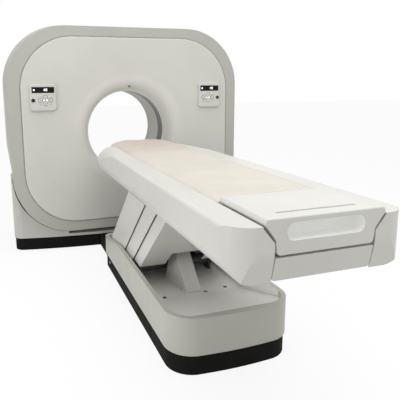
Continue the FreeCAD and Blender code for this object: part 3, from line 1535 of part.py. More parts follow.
# ---------------------------------------------------------------- all pieces
def pieces():
    """Every node of the scanner with its solids."""
    covers = side_covers()
    window = bore_tube(bore_radius + cover_wall, bore_radius, lip_y, window_end_y)
    liner = bore_tube(bore_radius + cover_wall, bore_radius, window_end_y, tunnel_end_y)
    race_y = (frame_plate_y, frame_plate_y + frame_plate_thickness)
    nodes = {
        "gantry_plinth": gantry_plinth(),
        "stand_cover": stand_cover(),
        "stand_frame": stand_frame(),
        "tilt_bearings": both(tilt_bearing()),
        "tilt_gearmotor": tilt_gearmotor(),
        "docking_duct": docking_duct(),
        "table_plinth": table_plinth(),
        "table_base_cover": table_base_cover(),
        "table_base_frame": table_base_frame(),
        "base_pivot_pins": base_pivot_pins(),
        "lift_shroud": lift_shroud(),
        "lift_gearmotor": lift_gearmotor(),
        "tilt_frame": tilt_frame(),
        "gantry_shell": gantry_shell(),
        "front_cover": front_cover(),
        "rear_cover": rear_cover(),
        "scan_window_ring": window,
        "bore_liner": liner,
        "bearing_outer_ring": bore_tube(race_outer_radius, race_split_radius + race_clearance, *race_y),
        "bearing_inner_ring": bore_tube(race_split_radius, rotor_hub_radius, *race_y),
        "rotor_drive_motor": rotor_drive_motor(),
        "drive_pulley": drive_pulley(),
        "drive_belt": drive_belt(),
        "brush_block": brush_block(),
        "displays": both(display(0)),
        "indicator_lens": rod(lens_radius, (0, lens_y[0], lens_z), (0, lens_y[1], lens_z)),
        "rotor_drum": rotor_drum(),
        "slip_ring": bore_tube(slip_ring_radius, rotor_hub_radius, *slip_ring_y),
        "xray_tube": xray_tube(),
        "collimator": collimator(),
        "detector_arc": detector_arc(),
        "hv_generator": hv_generator(),
        "tube_cooler": tube_cooler(),
        "counterweight": counterweight(),
        "rear_lift_arm": rear_lift_arm(),
        "front_lift_arm": front_lift_arm(),
        "lift_rod": lift_rod(),
        "column_cover_rear": column_cover_rear(),
        "column_cover_middle": column_cover_middle(),
        "column_cover_front": column_cover_front(),
        "table_pivot_pins": table_pivot_pins(),
        "table_frame": table_frame(),
        "right_side_cover": side_cover(covers, 1),
        "left_side_cover": side_cover(covers, -1),
        "foot_panel": foot_panel(),
        "cradle": cradle(),
        "cradle_end_housing": cradle_end_housing(),
        "mattress_pad": mattress_pad(),
        "cradle_drive_motor": cradle_drive_motor(),
        "drive_roller": drive_roller(),
    }
    for name, (x, z) in button_places().items():
        knob = button(x, z)
        nodes[name + "_button_right"] = knob
        nodes[name + "_button_left"] = mirrored(knob)
    return nodes


def write_parts():
    """Write one STEP file for each node."""
    os.makedirs(PARTS, exist_ok=True)
    for name, shape in pieces().items():
        solids = [solid for piece in flat([shape]) for solid in piece.Solids]
        body = solids[0] if len(solids) == 1 else Part.makeCompound(solids)
        body.exportStep(os.path.join(PARTS, name + ".step"))


write_parts()
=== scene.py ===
import json
import math

import bmesh
import bpy
import numpy as np
from bpy.props import FloatProperty, FloatVectorProperty, IntProperty, PointerProperty, StringProperty
from mathutils import Matrix, Vector


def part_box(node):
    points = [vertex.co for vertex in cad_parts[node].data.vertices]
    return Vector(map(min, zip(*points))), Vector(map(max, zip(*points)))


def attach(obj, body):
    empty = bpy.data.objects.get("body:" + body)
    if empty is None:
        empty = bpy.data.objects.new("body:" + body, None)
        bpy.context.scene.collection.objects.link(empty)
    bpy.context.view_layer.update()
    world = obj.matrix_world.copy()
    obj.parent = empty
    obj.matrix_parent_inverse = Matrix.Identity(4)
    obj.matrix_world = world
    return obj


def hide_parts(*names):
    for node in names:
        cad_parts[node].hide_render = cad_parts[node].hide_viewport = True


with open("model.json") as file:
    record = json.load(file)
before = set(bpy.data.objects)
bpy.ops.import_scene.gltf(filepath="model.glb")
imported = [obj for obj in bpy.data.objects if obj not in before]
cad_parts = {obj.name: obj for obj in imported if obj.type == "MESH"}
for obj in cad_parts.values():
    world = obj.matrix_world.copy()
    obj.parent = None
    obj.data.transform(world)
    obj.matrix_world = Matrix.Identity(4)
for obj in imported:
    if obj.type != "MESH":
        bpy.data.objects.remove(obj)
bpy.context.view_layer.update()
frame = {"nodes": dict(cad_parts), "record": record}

bl_info = {
    "name": "CT Scanner Dresser",
    "version": (1, 0, 0),
    "blender": (4, 5, 0),
    "location": "View3D > Sidebar > Scanner",
    "description": "Finishes, pad, controls, trims and stage for a tilting ct scanner with a lifting table",
    "category": "Add Mesh",
}

NODES = frame["nodes"]
SLOT_OF = {part["node"]: part["material_slot"] for part in frame["record"]["subparts"]}
# the table base gets its own finish, with painted shade on the cover and painted light in its tray
OWN_FINISH = {"table_base_cover": "base_cover", "lift_shroud": "table_light"}
SIDES = {-1.0: "left", 1.0: "right"}

# ---- sizes in metres
ARM_LEAN = math.radians(49.5)  # lifting arms, from upright
REAR_PIVOT = (-0.883, 0.225)  # lower pivots of the arms: y, z
FRONT_PIVOT = (-1.342, 0.225)
# name, body, pivot, outer face, distance square to the arm, low and high z
COLUMN_SEAMS = (
    ("rear", "rear_arm", REAR_PIVOT, 0.3035, -0.1412, 0.262, 0.733),
    ("middle", "front_arm", FRONT_PIVOT, 0.2966, 0.0290, 0.274, 0.733),
)
RIM_FACE_Y = -0.250  # front face of the rim band
SLOT_BOX = ((-0.162, 0.886), (0.162, 0.953))  # handle slot: low and high x, z
SLOT_STEPS = 72
BORE_Z = 1.01
FLARE_FADE = (0.36, 0.50)  # distances from the bore's axis where the flare's painted light fades
FLARE_RISE = (-0.1, 0.3)  # heights from the axis over which it comes in
TRAY_CORNER = (0.190, -2.104)  # centre of the tray's right front corner in plan
TRAY_RADIUS = 0.1246
TRAY_REAR_Y = -0.668
TRAY_EDGE = 0.001  # width of the soft edge of the tray's painted light
HEAD_SHADE_FADE_Y = (-1.02, -0.80)  # where the pad's painted shade begins and is full

LENS_GREEN = (0.05, 0.16, 0.08)  # linear colours of lens, metals, paint and belt
CAP_STEEL = (0.55, 0.55, 0.54)
BARE_STEEL = (0.46, 0.46, 0.47)
ALUMINIUM = (0.62, 0.63, 0.64)
TUBE_METAL = (0.42, 0.40, 0.36)
BRASS = (0.55, 0.40, 0.16)
MOTOR_GREY = (0.16, 0.17, 0.18)
BELT_BLACK = (0.012, 0.012, 0.012)

PAD_GRID = (760, 132)  # rings along the pad's skin, and points round each
PAD_POWERS = (0.30, 0.62)  # squareness of the section, across and upwards
PAD_GAPS = (0.0012, 0.0004)  # pad to the cradle's side walls and floor
PAD_RIM_RISE = 0.019  # the underside's outer edge above its middle
PAD_WAIST = 0.012  # the section's widest line above that edge
PAD_FLAT_HALF = 0.165  # half width of the underside's flat middle
PAD_FLOOR_POWER = 1.4
PAD_CROWN_POWER = 2.2
PAD_EDGE_DROP = 0.004  # extra drop of the top at its very edge
PAD_EDGE_POWER = 12
PAD_END_ROUND = 0.010
PAD_END_SHARE = 0.35  # share of the thickness left at the ends
PAD_LAP = (0.41, 0.04)  # share of the height where the lap starts, and its rise
PAD_DRAW_RATE = 18.0  # waves of the drawn-in sides, in radians a metre
PAD_CHANNELS = (0.25, 0.5, 0.75)  # shares of the length
FOLD_COUNT = 14
FOLD_SEED = 7
FOLD_TURN = 0.9  # most that a fold turns from square, in radians
FOLD_PHASE = 6.28
FOLD_RATES = (26.0, 85.0)  # waves of the folds, in radians a metre
FOLD_WARP = 0.35
WARP_RATES = (4.0, 11.0)
FOLD_SHARE = 0.42
FOLD_LIMIT = 0.0009  # most that a fold stands above the skin
FOLD_REST = 0.28  # share of the folds outside the wrap
FOLD_START = (-0.98, 0.07)  # y where the folds reach half their depth, and the fade's length

DISPLAY_WIDTH = 0.174
FIGURES_OUT = 0.018  # figures from the middle of the display
FIGURES_SCALE = 1.35  # a font's size over the height of its figures
FIGURES_PROUD = 0.3  # share of the figures' thickness before the glass
LAMP_IN = 0.016  # lamp from the display's inner end
CONSOLE_FACE = 0.001  # console's face behind the display's face
KEY_DIRECTIONS = {"up": (0, 1), "down": (0, -1), "inner": (-1, 0), "outer": (1, 0)}  # outward, upward
ARROW_KEY_RADIUS = 0.0153  # inner edge of the ring round an arrow key
RING_HEIGHT = 0.0010
RING_STEPS = 48
STOP_COLLAR = (0.0150, 0.0195, 0.0022)  # inner and outer radius, height
ARROW_RADIUS = 0.0058  # arrow's corners from its middle
ARROW_SPREAD = 2.3  # its two rear corners, from its point, in radians
ARROW_CORNER = 0.0009
SOFT_KEY_STEP = (0.041, 0.029)  # soft keys from the cluster's middle: x, z
CENTRE_MARK_STEP = 0.010
SUNK = 0.0002  # how far small trims reach into their ground

# round forms turned about their axis: radius, height
DISPLAY_LAMP = ((0.0, 0.0009), (0.004, 0.0008), (0.0068, 0.0004), (0.0075, -SUNK), (0.0, -SUNK))
SOFT_KEY = ((0.0, 0.0012), (0.0055, 0.0010), (0.0095, 0.0004), (0.0105, -SUNK), (0.0, -SUNK))
CENTRE_MARK = ((0.0, 0.0011), (0.0045, 0.0009), (0.0066, -SUNK), (0.0, -SUNK))
TABLE_LAMP = ((0.0, 0.0022), (0.003, 0.0019), (0.0052, 0.0008), (0.006, -0.002), (0.0, -0.002))

SEAL_GAP = 0.0015  # seal to the cradle's side
SEAL_RISE = 0.0040  # seal above the cradle's edge
SEAL_FOOT_GAP = 0.075  # from the foot end of the cover to the seals
SEAL_HEAD_GAP = 0.175  # from the head end of the cradle to the seals
SEAL_DEPTH = 0.018
SEAL_CROWN = (0.0015, 0.0024)  # heights of the seal's edge and ridge
SEAL_STEPS = 60
SEAM_STEPS = 30
CORNER_STEPS = 40
GASKET_PROUD = 0.55  # share of the bead's radius from the rim face to its centre
PLINTH_SCREW = (-0.80, 0.062)  # y, z
LAMP_PLACE = (0.3655, -1.718, 0.854)
LAMP_LEAN = 0.1
SCREW_CAP = ((0.0, 0.35), (0.36, 0.35), (0.42, 1.0), (0.75, 0.92), (1.0, 0.35))  # shares of radius, height
SCREW_SUNK = 0.0006
REAR_SCREWS = [(x, z) for x in (-0.80, 0.80) for z in (0.52, 1.10, 1.62)]
REAR_SCREWS += [(x, z) for x in (-0.30, 0.30) for z in (0.36, 1.76)]
LOUVRE_PLACE = (0.665, 0.50)  # middle of a vent and its lowest slot: x, z
LOUVRE_BARS = (  # kind, finish, height above the slot, stand-off, half height, half depth
    # the slot plates are flat dark sheets, painted shade in place of open slots
    ("slots", "seam_dark", 0.0, 0.0002, 0.0045, 0.0007),
    ("slats", "gantry_rim", 0.0075, 0.0004, 0.0032, 0.0030),
)
BAR_END_STEPS = 6
RATING_PLATE = ((0.66, 0.17), (0.82, 0.245))  # low and high x, z
RATING_CORNER = 0.006
RATING_LAYERS = (0.97, 0.0012, 0.0006, 0.0004)  # bevel, height, height of the edge, sunk depth
MARK_BEVEL = 0.96  # size of a printed mark's top over its foot
MARK_EDGE = 0.4  # height of its edge over its full height
MARK_SUNK = 0.0001
LINER_START = 0.003  # liner behind the slot's front edge
LINER_BEND = ((0.0006, -0.006), (0.0024, -0.0022), (0.006, -0.0006))  # inset, depth from the floor
LINER_OUTSIDE = (0.0002, 0.0012)

FRONTWARD = (0, -1, 0)
FLOOR_REACH = 30.0
FLOOR_Z = -0.0005
STAGE_LAMPS = (  # setting, name, place, target, size
    ("top", "top_lamp", (0.2, -2.6, 4.6), (0.0, -1.2, 0.7), 4.0),
    ("fill", "side_lamp", (4.4, -3.2, 2.6), (0.0, -0.9, 0.7), 3.0),
    ("low", "low_lamp", (-4.4, -2.9, 1.0), (0.0, -0.9, 0.5), 2.2),
)
CAMERA_TURN = (18.59, 10.07, -0.56)  # yaw, pitch and roll in degrees
CAMERA_PLACE = (-1.015, -4.163, 1.400)
CAMERA_LENS, SENSOR_WIDTH = 41.79, 36.0  # in millimetres
CAMERA_SHIFT = (0.0895, -0.079)


def linear(code):
    """A web colour such as 'CFCEC8' as linear red, green and blue."""
    parts = [int(code[i:i + 2], 16) / 255 for i in (0, 2, 4)]
    return tuple(p / 12.92 if p <= 0.04045 else ((p + 0.055) / 1.055) ** 2.4 for p in parts)


def colour(name, description, code):
    """A colour property whose default is a web colour."""
    return FloatVectorProperty(name=name, description=description, default=linear(code), size=3,
                               min=0.0, max=1.0, subtype="COLOR")


def length(name, description, metres):
    """A length property in metres."""
    return FloatProperty(name=name, description=description, default=metres, min=0.0, max=5.0,
                         subtype="DISTANCE", unit="LENGTH", precision=4)


def share(name, description, value, most=1.0):
    """A plain number property from 0 up."""
    return FloatProperty(name=name, description=description, default=value, min=0.0, max=most)


def power(name, description, watts):
    """A lamp's power property."""
    return FloatProperty(name=name, description=description, default=watts, min=0.0, max=5000.0,
                         subtype="POWER", unit="POWER")


# ---- property groups
class ScannerColours(bpy.types.PropertyGroup):
    """Colours of the scanner's finishes."""
    panel: colour("Front panel", "Satin paint of the gantry's front panel", "CFCEC7")
    rim: colour("Rim band", "Satin paint of the rim band and sides", "B4B3AC")
    stand: colour("Stand", "Satin paint of the stand's covers", "C6C5BE")
    table: colour("Table covers", "Moulded plastic of the table's covers", "D9D8D2")
    # painted shade: the base is greyer than its light plastic, so that its upright faces look shaded
    base: colour("Table base", "Greyer moulded cover of the table base", "BDBCB3")
    # painted light: a paler colour for the flare's upper rim, which faces down into shade
    flare: colour("Flare", "Paler paint of the flare round the bore", "F0EFE8")
    # painted light: a paler colour for the tray of the table base, which the table above keeps in shade
    painted_light: colour("Tray inlay", "Paler inlay in the tray of the table base", "F2F1EC")
    plinth: colour("Plinths", "Dark kick plinths", "191918")
    window: colour("Scan window", "Dark ring that the beam passes through", "2B2A23")
    display: colour("Displays", "Glass over the displays", "0B0C0B")
    key_light: colour("Keys", "Pale keys of the arrow cluster", "DEDDD8")
    key_dark: colour("Round button", "Black button beside the arrows", "121211")
    digits: colour("Digits", "Lit figures on the displays", "F4F6F6")
    pad: colour("Pad", "Vinyl of the mattress pad", "D9D3C6")
    # painted shade: a darker, warmer colour at the pad's head end, for the shade on the far wall of its
    # hollow
    pad_warm: colour("Pad wrap", "Warmer clear wrap at the head end of the pad", "D3C5B9")
    # this dark also serves the key rings and arrow marks, and is painted shade on the rear air slots' plates
    seam: colour("Seams", "Dark rubber in the gaps between covers", "1D1D1C")
    gasket: colour("Gasket", "Grey gasket round the front panel", "8F8E86")
    # painted light: the liner glows faintly to lift the shade inside the handle slot
    liner: colour("Slot liner", "Bright liner of the handle slot", "F4F4F1")
    glint: colour("Table lamp", "Small cool lamp on the table's side", "A8D8DC")
    frame_grey: colour("Frames", "Powder coat of the steel frames", "4E5052")
    backdrop: colour("Backdrop", "Floor and surroundings", "FFFFFF")


class PadSizes(bpy.types.PropertyGroup):
    """Sizes of the mattress pad."""
    lap: length("Lap", "How far the pad's upper edge laps over the cradle's rim", 0.0105)
    head_corner: length("Head corners", "Rounding of the pad's corners at the head end", 0.118)
    loft: length("Loft", "How far the foam stands above its carrier's highest line", 0.0078)
    crown: length("Crown", "Rise of the middle above the pad's edge", 0.0055)
    edge_draw: length("Edge draw", "How far the sides pull in between the corners", 0.004)
    wrinkle: length("Wrinkle", "Depth of the folds in the wrap at the head end", 0.0034)
    channel_depth: length("Channel depth", "Depth of the sewn cross channels", 0.0035)
    channel_width: length("Channel width", "Width of a sewn cross channel", 0.014)


class TrimSizes(bpy.types.PropertyGroup):
    """Sizes of trims, seams and fastenings."""
    screw_radius: length("Screw cap radius", "Radius of a screw cap on the plinths", 0.009)
    screw_proud: length("Screw cap height", "How far a screw cap stands out", 0.0022)
    ring_width: length("Key ring width", "Width of the dark ring round an arrow key", 0.0022)
    mark_proud: length("Mark height", "How far printed marks stand out", 0.0004)
    digit_height: length("Digit height", "Height of the figures on the displays", 0.024)
    gasket_radius: length("Gasket radius", "Radius of the bead in the groove round the front panel", 0.0034)
    panel_corner: length("Panel corner", "Corner radius of the front panel", 0.430)
    seal_width: length("Seal width", "Thickness of the seals beside the cradle", 0.0022)
    seam_width: length("Seam width", "Width of the dark seams on the column", 0.0045)
    liner_depth: length("Liner depth", "Depth of the handle slot's bright liner", 0.070)
    louvre_pitch: length("Louvre pitch", "Distance between two air slots", 0.024)
    louvre_width: length("Louvre width", "Length of an air slot", 0.230)
    louvre_count: IntProperty(name="Louvres", description="Air slots in each vent of the rear cover",
                              default=12, min=2, max=30)


class StageSettings(bpy.types.PropertyGroup):
    """Light, floor and camera."""
    sky: share("Sky", "Strength of the even light all round", 0.69, most=3.0)
    bounce: share("Bounce", "Share of the light that the floor throws back", 0.62)
    whiteness: share("Floor white", "How much of its shadow the floor hides", 0.88)
    top: power("Top lamp", "Power of the large lamp overhead", 95.0)
    fill: power("Right lamp", "Power of the lamp on the right", 6.0)
    low: power("Left lamp", "Power of the low lamp on the left", 44.0)
    digits: StringProperty(name="Digits", description="Figures on the displays", default="48")


# ---- meshes from arrays
def points_at(x, y, z):
    """Points from their coordinates; a single number goes for all of them."""
    return np.stack(np.broadcast_arrays(x, y, z), -1)


def ring_angles(steps):
    """Even angles once round."""
    return np.linspace(0.0, 2 * math.pi, steps, endpoint=False)


def linked(name, data):
    """A new object of the scene."""
    piece = bpy.data.objects.new(name, data)
    bpy.context.scene.collection.objects.link(piece)
    return piece


def grid_piece(name, points, wrap_u=False, wrap_v=False):
    """A mesh over an (n, m, 3) grid of points; wrap joins the last row or column to the first.

    Points that fall together are merged, so a grid whose end rows shrink to one point closes there,
    and the faces are turned outwards."""
    rows, columns, _ = points.shape
    u = np.arange(rows if wrap_u else rows - 1)[:, None]
    v = np.arange(columns if wrap_v else columns - 1)[None, :]
    row, next_row = u * columns, (u + 1) % rows * columns
    after = (v + 1) % columns
    quads = np.stack(np.broadcast_arrays(row + v, next_row + v, next_row + after, row + after), -1)
    mesh = bpy.data.meshes.new(name)
    mesh.from_pydata(points.reshape(-1, 3), [], quads.reshape(-1, 4))
    work = bmesh.new()
    work.from_mesh(mesh)
    bmesh.ops.remove_doubles(work, verts=work.verts, dist=1e-6)
    bmesh.ops.dissolve_degenerate(work, edges=work.edges, dist=1e-7)
    bmesh.ops.recalc_face_normals(work, faces=work.faces)
    work.to_mesh(mesh)
    work.free()
    mesh.shade_smooth()
    return linked(name, mesh)


def joined(name, pieces):
    """One piece from several, each of which keeps its faces."""
    mesh = bpy.data.meshes.new(name)
    work = bmesh.new()
    for piece in pieces:
        work.from_mesh(piece.data)
        bpy.data.objects.remove(piece)
    work.to_mesh(mesh)
    work.free()
    return linked(name, mesh)


def turned_piece(name, profile, centre, axis, steps=32):
    """A round piece: each (radius, height) of the profile is carried round the axis through the centre."""
    away = Vector(axis).normalized()
    side = away.orthogonal().normalized()
    other = away.cross(side)
    angle = ring_angles(steps)[None, :, None]
    radius, height = (np.array(column)[:, None, None] for column in zip(*profile))
    points = (np.array(centre) + np.array(away) * height
              + radius * (np.array(side) * np.cos(angle) + np.array(other) * np.sin(angle)))
    return grid_piece(name, points, wrap_v=True)


def swept_piece(name, path, section, across, closed=True):
    """A bead: a closed section carried along a path that lies square to 'across'.

    The section's first coordinate points out of the path's bend and its second along 'across'."""
    path = np.asarray(path, float)
    ahead = np.roll(path, -1, 0) - np.roll(path, 1, 0)
    if not closed:
        ahead[0], ahead[-1] = path[1] - path[0], path[-1] - path[-2]
    ahead /= np.linalg.norm(ahead, axis=1, keepdims=True)
    normal = np.broadcast_to(np.asarray(across, float), path.shape)
    out = np.cross(ahead, normal)
    section = np.asarray(section, float)
    points = path[:, None] + out[:, None] * section[:, :1] + normal[:, None] * section[:, 1:]
    if not closed:
        first = np.broadcast_to(points[0].mean(0), points[0].shape)[None]
        last = np.broadcast_to(points[-1].mean(0), points[-1].shape)[None]
        points = np.concatenate((first, points, last))
    return grid_piece(name, points, wrap_u=closed, wrap_v=True)


def lettering(name, words, height, depth, place):
    """Figures as a mesh at a place, facing the front."""
    curve = bpy.data.curves.new(name, "FONT")
    curve.body, curve.size, curve.extrude = words, height, depth / 2
    curve.align_x, curve.align_y = "CENTER", "CENTER"
    holder = linked(name, curve)
    bpy.context.view_layer.update()
    mesh = bpy.data.meshes.new_from_object(holder.evaluated_get(bpy.context.evaluated_depsgraph_get()))
    bpy.data.objects.remove(holder)
    mesh.transform(Matrix.Translation(place) @ Matrix.Rotation(math.pi / 2, 4, "X"))
    return linked(name, mesh)


def round_box(corners, radius, steps):
    """A closed outline round (u, v) corners, each rounded with the same radius."""
    corners = np.asarray(corners, float)
    outline = []
    for before, corner, after in zip(np.roll(corners, 1, 0), corners, np.roll(corners, -1, 0)):
        to_before = (before - corner) / np.linalg.norm(before - corner)
        to_after = (after - corner) / np.linalg.norm(after - corner)
        t = np.linspace(0.0, 1.0, steps)[:, None]
        start, end = corner + to_before * radius, corner + to_after * radius
        outline.append((1 - t) ** 2 * start + 2 * t * (1 - t) * corner + t ** 2 * end)
    return np.concatenate(outline)


def round_group(name, profile, places, out, steps):
    """Round pieces of one profile at several places, joined as one."""
    return joined(name, [turned_piece(name, profile, place, out, steps) for place in places])


def bevelled_plate(name, outline, face_y, out, layers):
    """A thin plate on an upright face: an (x, z) outline raised along Y, 'out' being 1 for the rear.

    The layers are the top's size over the foot's, the height, the edge's height and the sunk depth."""
    bevel, height, edge, sunk = layers
    ring = np.asarray(outline, float)
    centre = ring.mean(0)
    rows = []
    for size, rise in ((0.0, height), (bevel, height), (1.0, edge), (1.0, -sunk), (0.0, -sunk)):
        x, z = (centre + (ring - centre) * size).T
        rows.append(points_at(x, face_y + out * rise, z))
    return grid_piece(name, np.array(rows), wrap_v=True)


# ---- procedural finishes
def add_node(tree, kind, inputs, **settings):
    """A node with its settings; each input is a number, a colour or another node's output."""
    node = tree.nodes.new("ShaderNode" + kind)
    for key, value in settings.items():
        setattr(node, key, value)
    for key, value in inputs.items():
        if isinstance(value, bpy.types.NodeSocket):
            tree.links.new(value, node.inputs[key])
        else:
            node.inputs[key].default_value = value
    return node


def opaque(tone):
    """A colour with full alpha; a node's output stays as it is."""
    return tone if isinstance(tone, bpy.types.NodeSocket) else (*tone, 1.0)


class Finish:
    """A material under construction, with short calls for its nodes."""

    def __init__(self, slot):
        self.slot = slot
        self.material = bpy.data.materials.new(slot)
        self.material.use_nodes = True
        self.tree = self.material.node_tree
        self.shader = self.tree.nodes["Principled BSDF"]
        self.place = self.step("TexCoord", "Object", {})

    def step(self, kind, output, inputs, **settings):
        """One output of a new node."""
        return add_node(self.tree, kind, inputs, **settings).outputs[output]

    def drive(self, key, value):
        """Links a value to one of the shader's sockets."""
        self.tree.links.new(value, self.shader.inputs[key])

    def noise(self, scale, detail=2.0, stretch=None, rough=0.5):
        """Noise in object coordinates, which may be stretched by a scale for each axis."""
        place = self.place
        if stretch:
            place = self.step("Mapping", "Vector", {"Scale": stretch, "Vector": place})
        inputs = {"Scale": scale, "Detail": detail, "Roughness": rough, "Vector": place}
        return self.step("TexNoise", "Fac", inputs)

    def cells(self, scale):
        """Rounded cells in object coordinates, as in leather grain."""
        return self.step("TexVoronoi", "Distance", {"Scale": scale, "Vector": self.place})

    def spread(self, value, low, high, start=0.35, end=0.65):
        """A value mapped from start..end onto low..high."""
        reach = {"From Min": start, "From Max": end, "To Min": low, "To Max": high}
        return self.step("MapRange", "Result", {"Value": value, **reach})

    def axis(self, name):
        """One object coordinate."""
        return self.step("SeparateXYZ", name, {"Vector": self.place})

    def math(self, kind, first, second=0.0):
        """A sum, product or other step on two values or numbers."""
        return self.step("Math", 0, {0: first, 1: second}, operation=kind)

    def beyond(self, first, second):
        """How far one value lies above another, and 0 below it."""
        return self.math("MAXIMUM", self.math("SUBTRACT", first, second))

    def distance(self, first, second):
        """Length of two steps taken square to each other."""
        squares = (self.math("POWER", step, 2.0) for step in (first, second))
        return self.math("SQRT", self.math("ADD", *squares))

    def blend(self, factor, first, second):
        """Two colours mixed by a value."""
        inputs = {"Factor": factor, 6: opaque(first), 7: opaque(second)}
        return self.step("Mix", 2, inputs, data_type="RGBA")

    def clouded(self, value, first, second):
        """Two colours mixed by the evened-out run of a noise."""
        return self.blend(self.spread(value, 0.0, 1.0), first, second)

    def done(self, tone, gloss, height, depth, edge=0.0, **values):
        """Links colour, roughness and relief, sets other numbers, and gives the slot's name and material.

        The relief is 'depth' metres high and its edges are softened by a radius."""
        relief = {"Strength": 1.0, "Distance": depth, "Height": height}
        if edge:
            relief["Normal"] = self.step("Bevel", "Normal", {"Radius": edge}, samples=4)
        self.drive("Base Color", tone)
        self.drive("Roughness", gloss)
        self.drive("Normal", self.step("Bump", "Normal", relief))
        for key, value in values.items():
            self.shader.inputs[key.replace("_", " ")].default_value = value
        return self.slot, self.material


def shaded(base, factor):
    """A colour made darker or lighter."""
    return tuple(min(1.0, c * factor) for c in base)


def moulded(name, base, roughness=0.45, variation=0.035, grain=420.0, grain_depth=0.00007, coat=0.0,
            sheen=0.5, painted_light=None, where=None):
    """Satin paint or moulded plastic: broad uneven tone, fine grain and slightly uneven gloss; over a given
    mask a paler colour is painted on as light.
    """
    finish = Finish(name)
    broad = finish.noise(scale=1.7, detail=3.0)
    tone = finish.clouded(broad, shaded(base, 1 - variation), shaded(base, 1 + variation))
    if where:
        tone = finish.blend(where(finish), tone, painted_light)
    gloss = finish.spread(finish.noise(scale=9.0, detail=4.0), roughness - 0.05, roughness + 0.06)
    return finish.done(tone, gloss, finish.noise(grain, detail=1.0), grain_depth, edge=0.004,
                       Coat_Weight=coat, Coat_Roughness=0.25, Specular_IOR_Level=sheen)


def painted_tray_light_mask(finish):
    """1 inside the tray of the table base, whose plan has round front corners, and 0 outside it: there a
    paler colour is painted on as light, where the table above keeps the tray in shade.
    """
    centre_x, centre_y = TRAY_CORNER
    across = finish.beyond(finish.math("ABSOLUTE", finish.axis("X")), centre_x)
    ahead = finish.beyond(centre_y, finish.axis("Y"))
    inside = finish.spread(finish.distance(across, ahead), 1.0, 0.0, TRAY_RADIUS, TRAY_RADIUS + TRAY_EDGE)
    behind = finish.spread(finish.axis("Y"), 1.0, 0.0, TRAY_REAR_Y, TRAY_REAR_Y + TRAY_EDGE)
    return finish.math("MULTIPLY", inside, behind)


def painted_flare_light_mask(finish):
    """1 round the bore's upper rim, where a paler colour is painted on as light because that part faces down
    into shade, fading to 0 over the flare and towards its lower half.
    """
    rise = finish.math("SUBTRACT", finish.axis("Z"), BORE_Z)
    near = finish.spread(finish.distance(finish.axis("X"), rise), 1.0, 0.0, *FLARE_FADE)
    return finish.math("MULTIPLY", near, finish.spread(rise, 0.0, 1.0, *FLARE_RISE))


def metal(name, base, roughness=0.35, stretch=(1.0, 1.0, 1.0), scale=260.0):
    """Machined metal: drawn-out marks of the tool, with cloudy tarnish."""
    finish = Finish(name)
    tone = finish.clouded(finish.noise(scale=14.0, detail=4.0), shaded(base, 0.88), base)
    marks = finish.noise(scale, stretch=stretch)
    gloss = finish.spread(marks, roughness - 0.08, roughness + 0.10)
    return finish.done(tone, gloss, marks, depth=0.00004, Metallic=1.0)


def powder_coat(name, base):
    """Powder-coated steel: fine orange peel with dull and worn patches."""
    finish = Finish(name)
    wear = finish.noise(scale=6.0, detail=6.0, rough=0.65)
    worn = finish.spread(wear, 0.0, 1.0, start=0.3, end=0.75)
    tone = finish.blend(worn, shaded(base, 0.85), shaded(base, 1.2))
    gloss = finish.spread(wear, low=0.47, high=0.67)
    return finish.done(tone, gloss, finish.noise(scale=700.0, detail=1.0), depth=0.00012)


def rubber(name, base, ribs=0.0):
    """Matt rubber with a dusty bloom, and ribs round a belt where asked for."""
    finish = Finish(name)
    dust = finish.noise(scale=25.0, detail=5.0)
    height = finish.noise(scale=500.0, detail=1.0)
    if ribs:
        wave = finish.math("SINE", finish.math("MULTIPLY", finish.axis("Y"), ribs))
        height = finish.math("ADD", finish.math("MULTIPLY", wave, 0.5), finish.math("MULTIPLY", height, 0.1))
    gloss = finish.spread(dust, low=0.68, high=0.85)
    return finish.done(finish.clouded(dust, base, shaded(base, 1.5)), gloss, height, depth=0.0004)


def glass_panel(name, base):
    """Smoked glass over a display: a dark body under a smooth coat with faint smears."""
    finish = Finish(name)
    smear = finish.noise(scale=55.0, detail=3.0, stretch=(1.0, 1.0, 0.3))
    tone = finish.clouded(smear, base, shaded(base, 1.8))
    gloss = finish.spread(smear, low=0.22, high=0.34)
    return finish.done(tone, gloss, finish.noise(scale=300.0), depth=0.00001,
                       Coat_Weight=0.08, Coat_Roughness=0.1, Specular_IOR_Level=0.12)


def lit(name, base, strength):
    """A lit figure or lamp with a soft, slightly uneven glow; on the slot liner, which is no lamp, the glow
    is painted light.
    """
    finish = Finish(name)
    glow = finish.noise(scale=400.0)
    finish.drive("Emission Color", finish.clouded(glow, shaded(base, 0.94), base))
    tone = finish.clouded(glow, shaded(base, 0.92), base)
    gloss = finish.spread(glow, low=0.3, high=0.45)
    return finish.done(tone, gloss, glow, depth=0.00002, Emission_Strength=strength)


def scan_window(name, base):
    """Dark ring of the beam window: fine turned lines round the bore, with a soft sheen."""
    finish = Finish(name)
    tone = finish.clouded(finish.noise(scale=5.0, detail=3.0), shaded(base, 0.9), shaded(base, 1.1))
    lines = finish.noise(scale=900.0, detail=1.0, stretch=(0.04, 1.0, 0.04))
    return finish.done(tone, finish.spread(lines, low=0.34, high=0.46), lines, depth=0.00005)


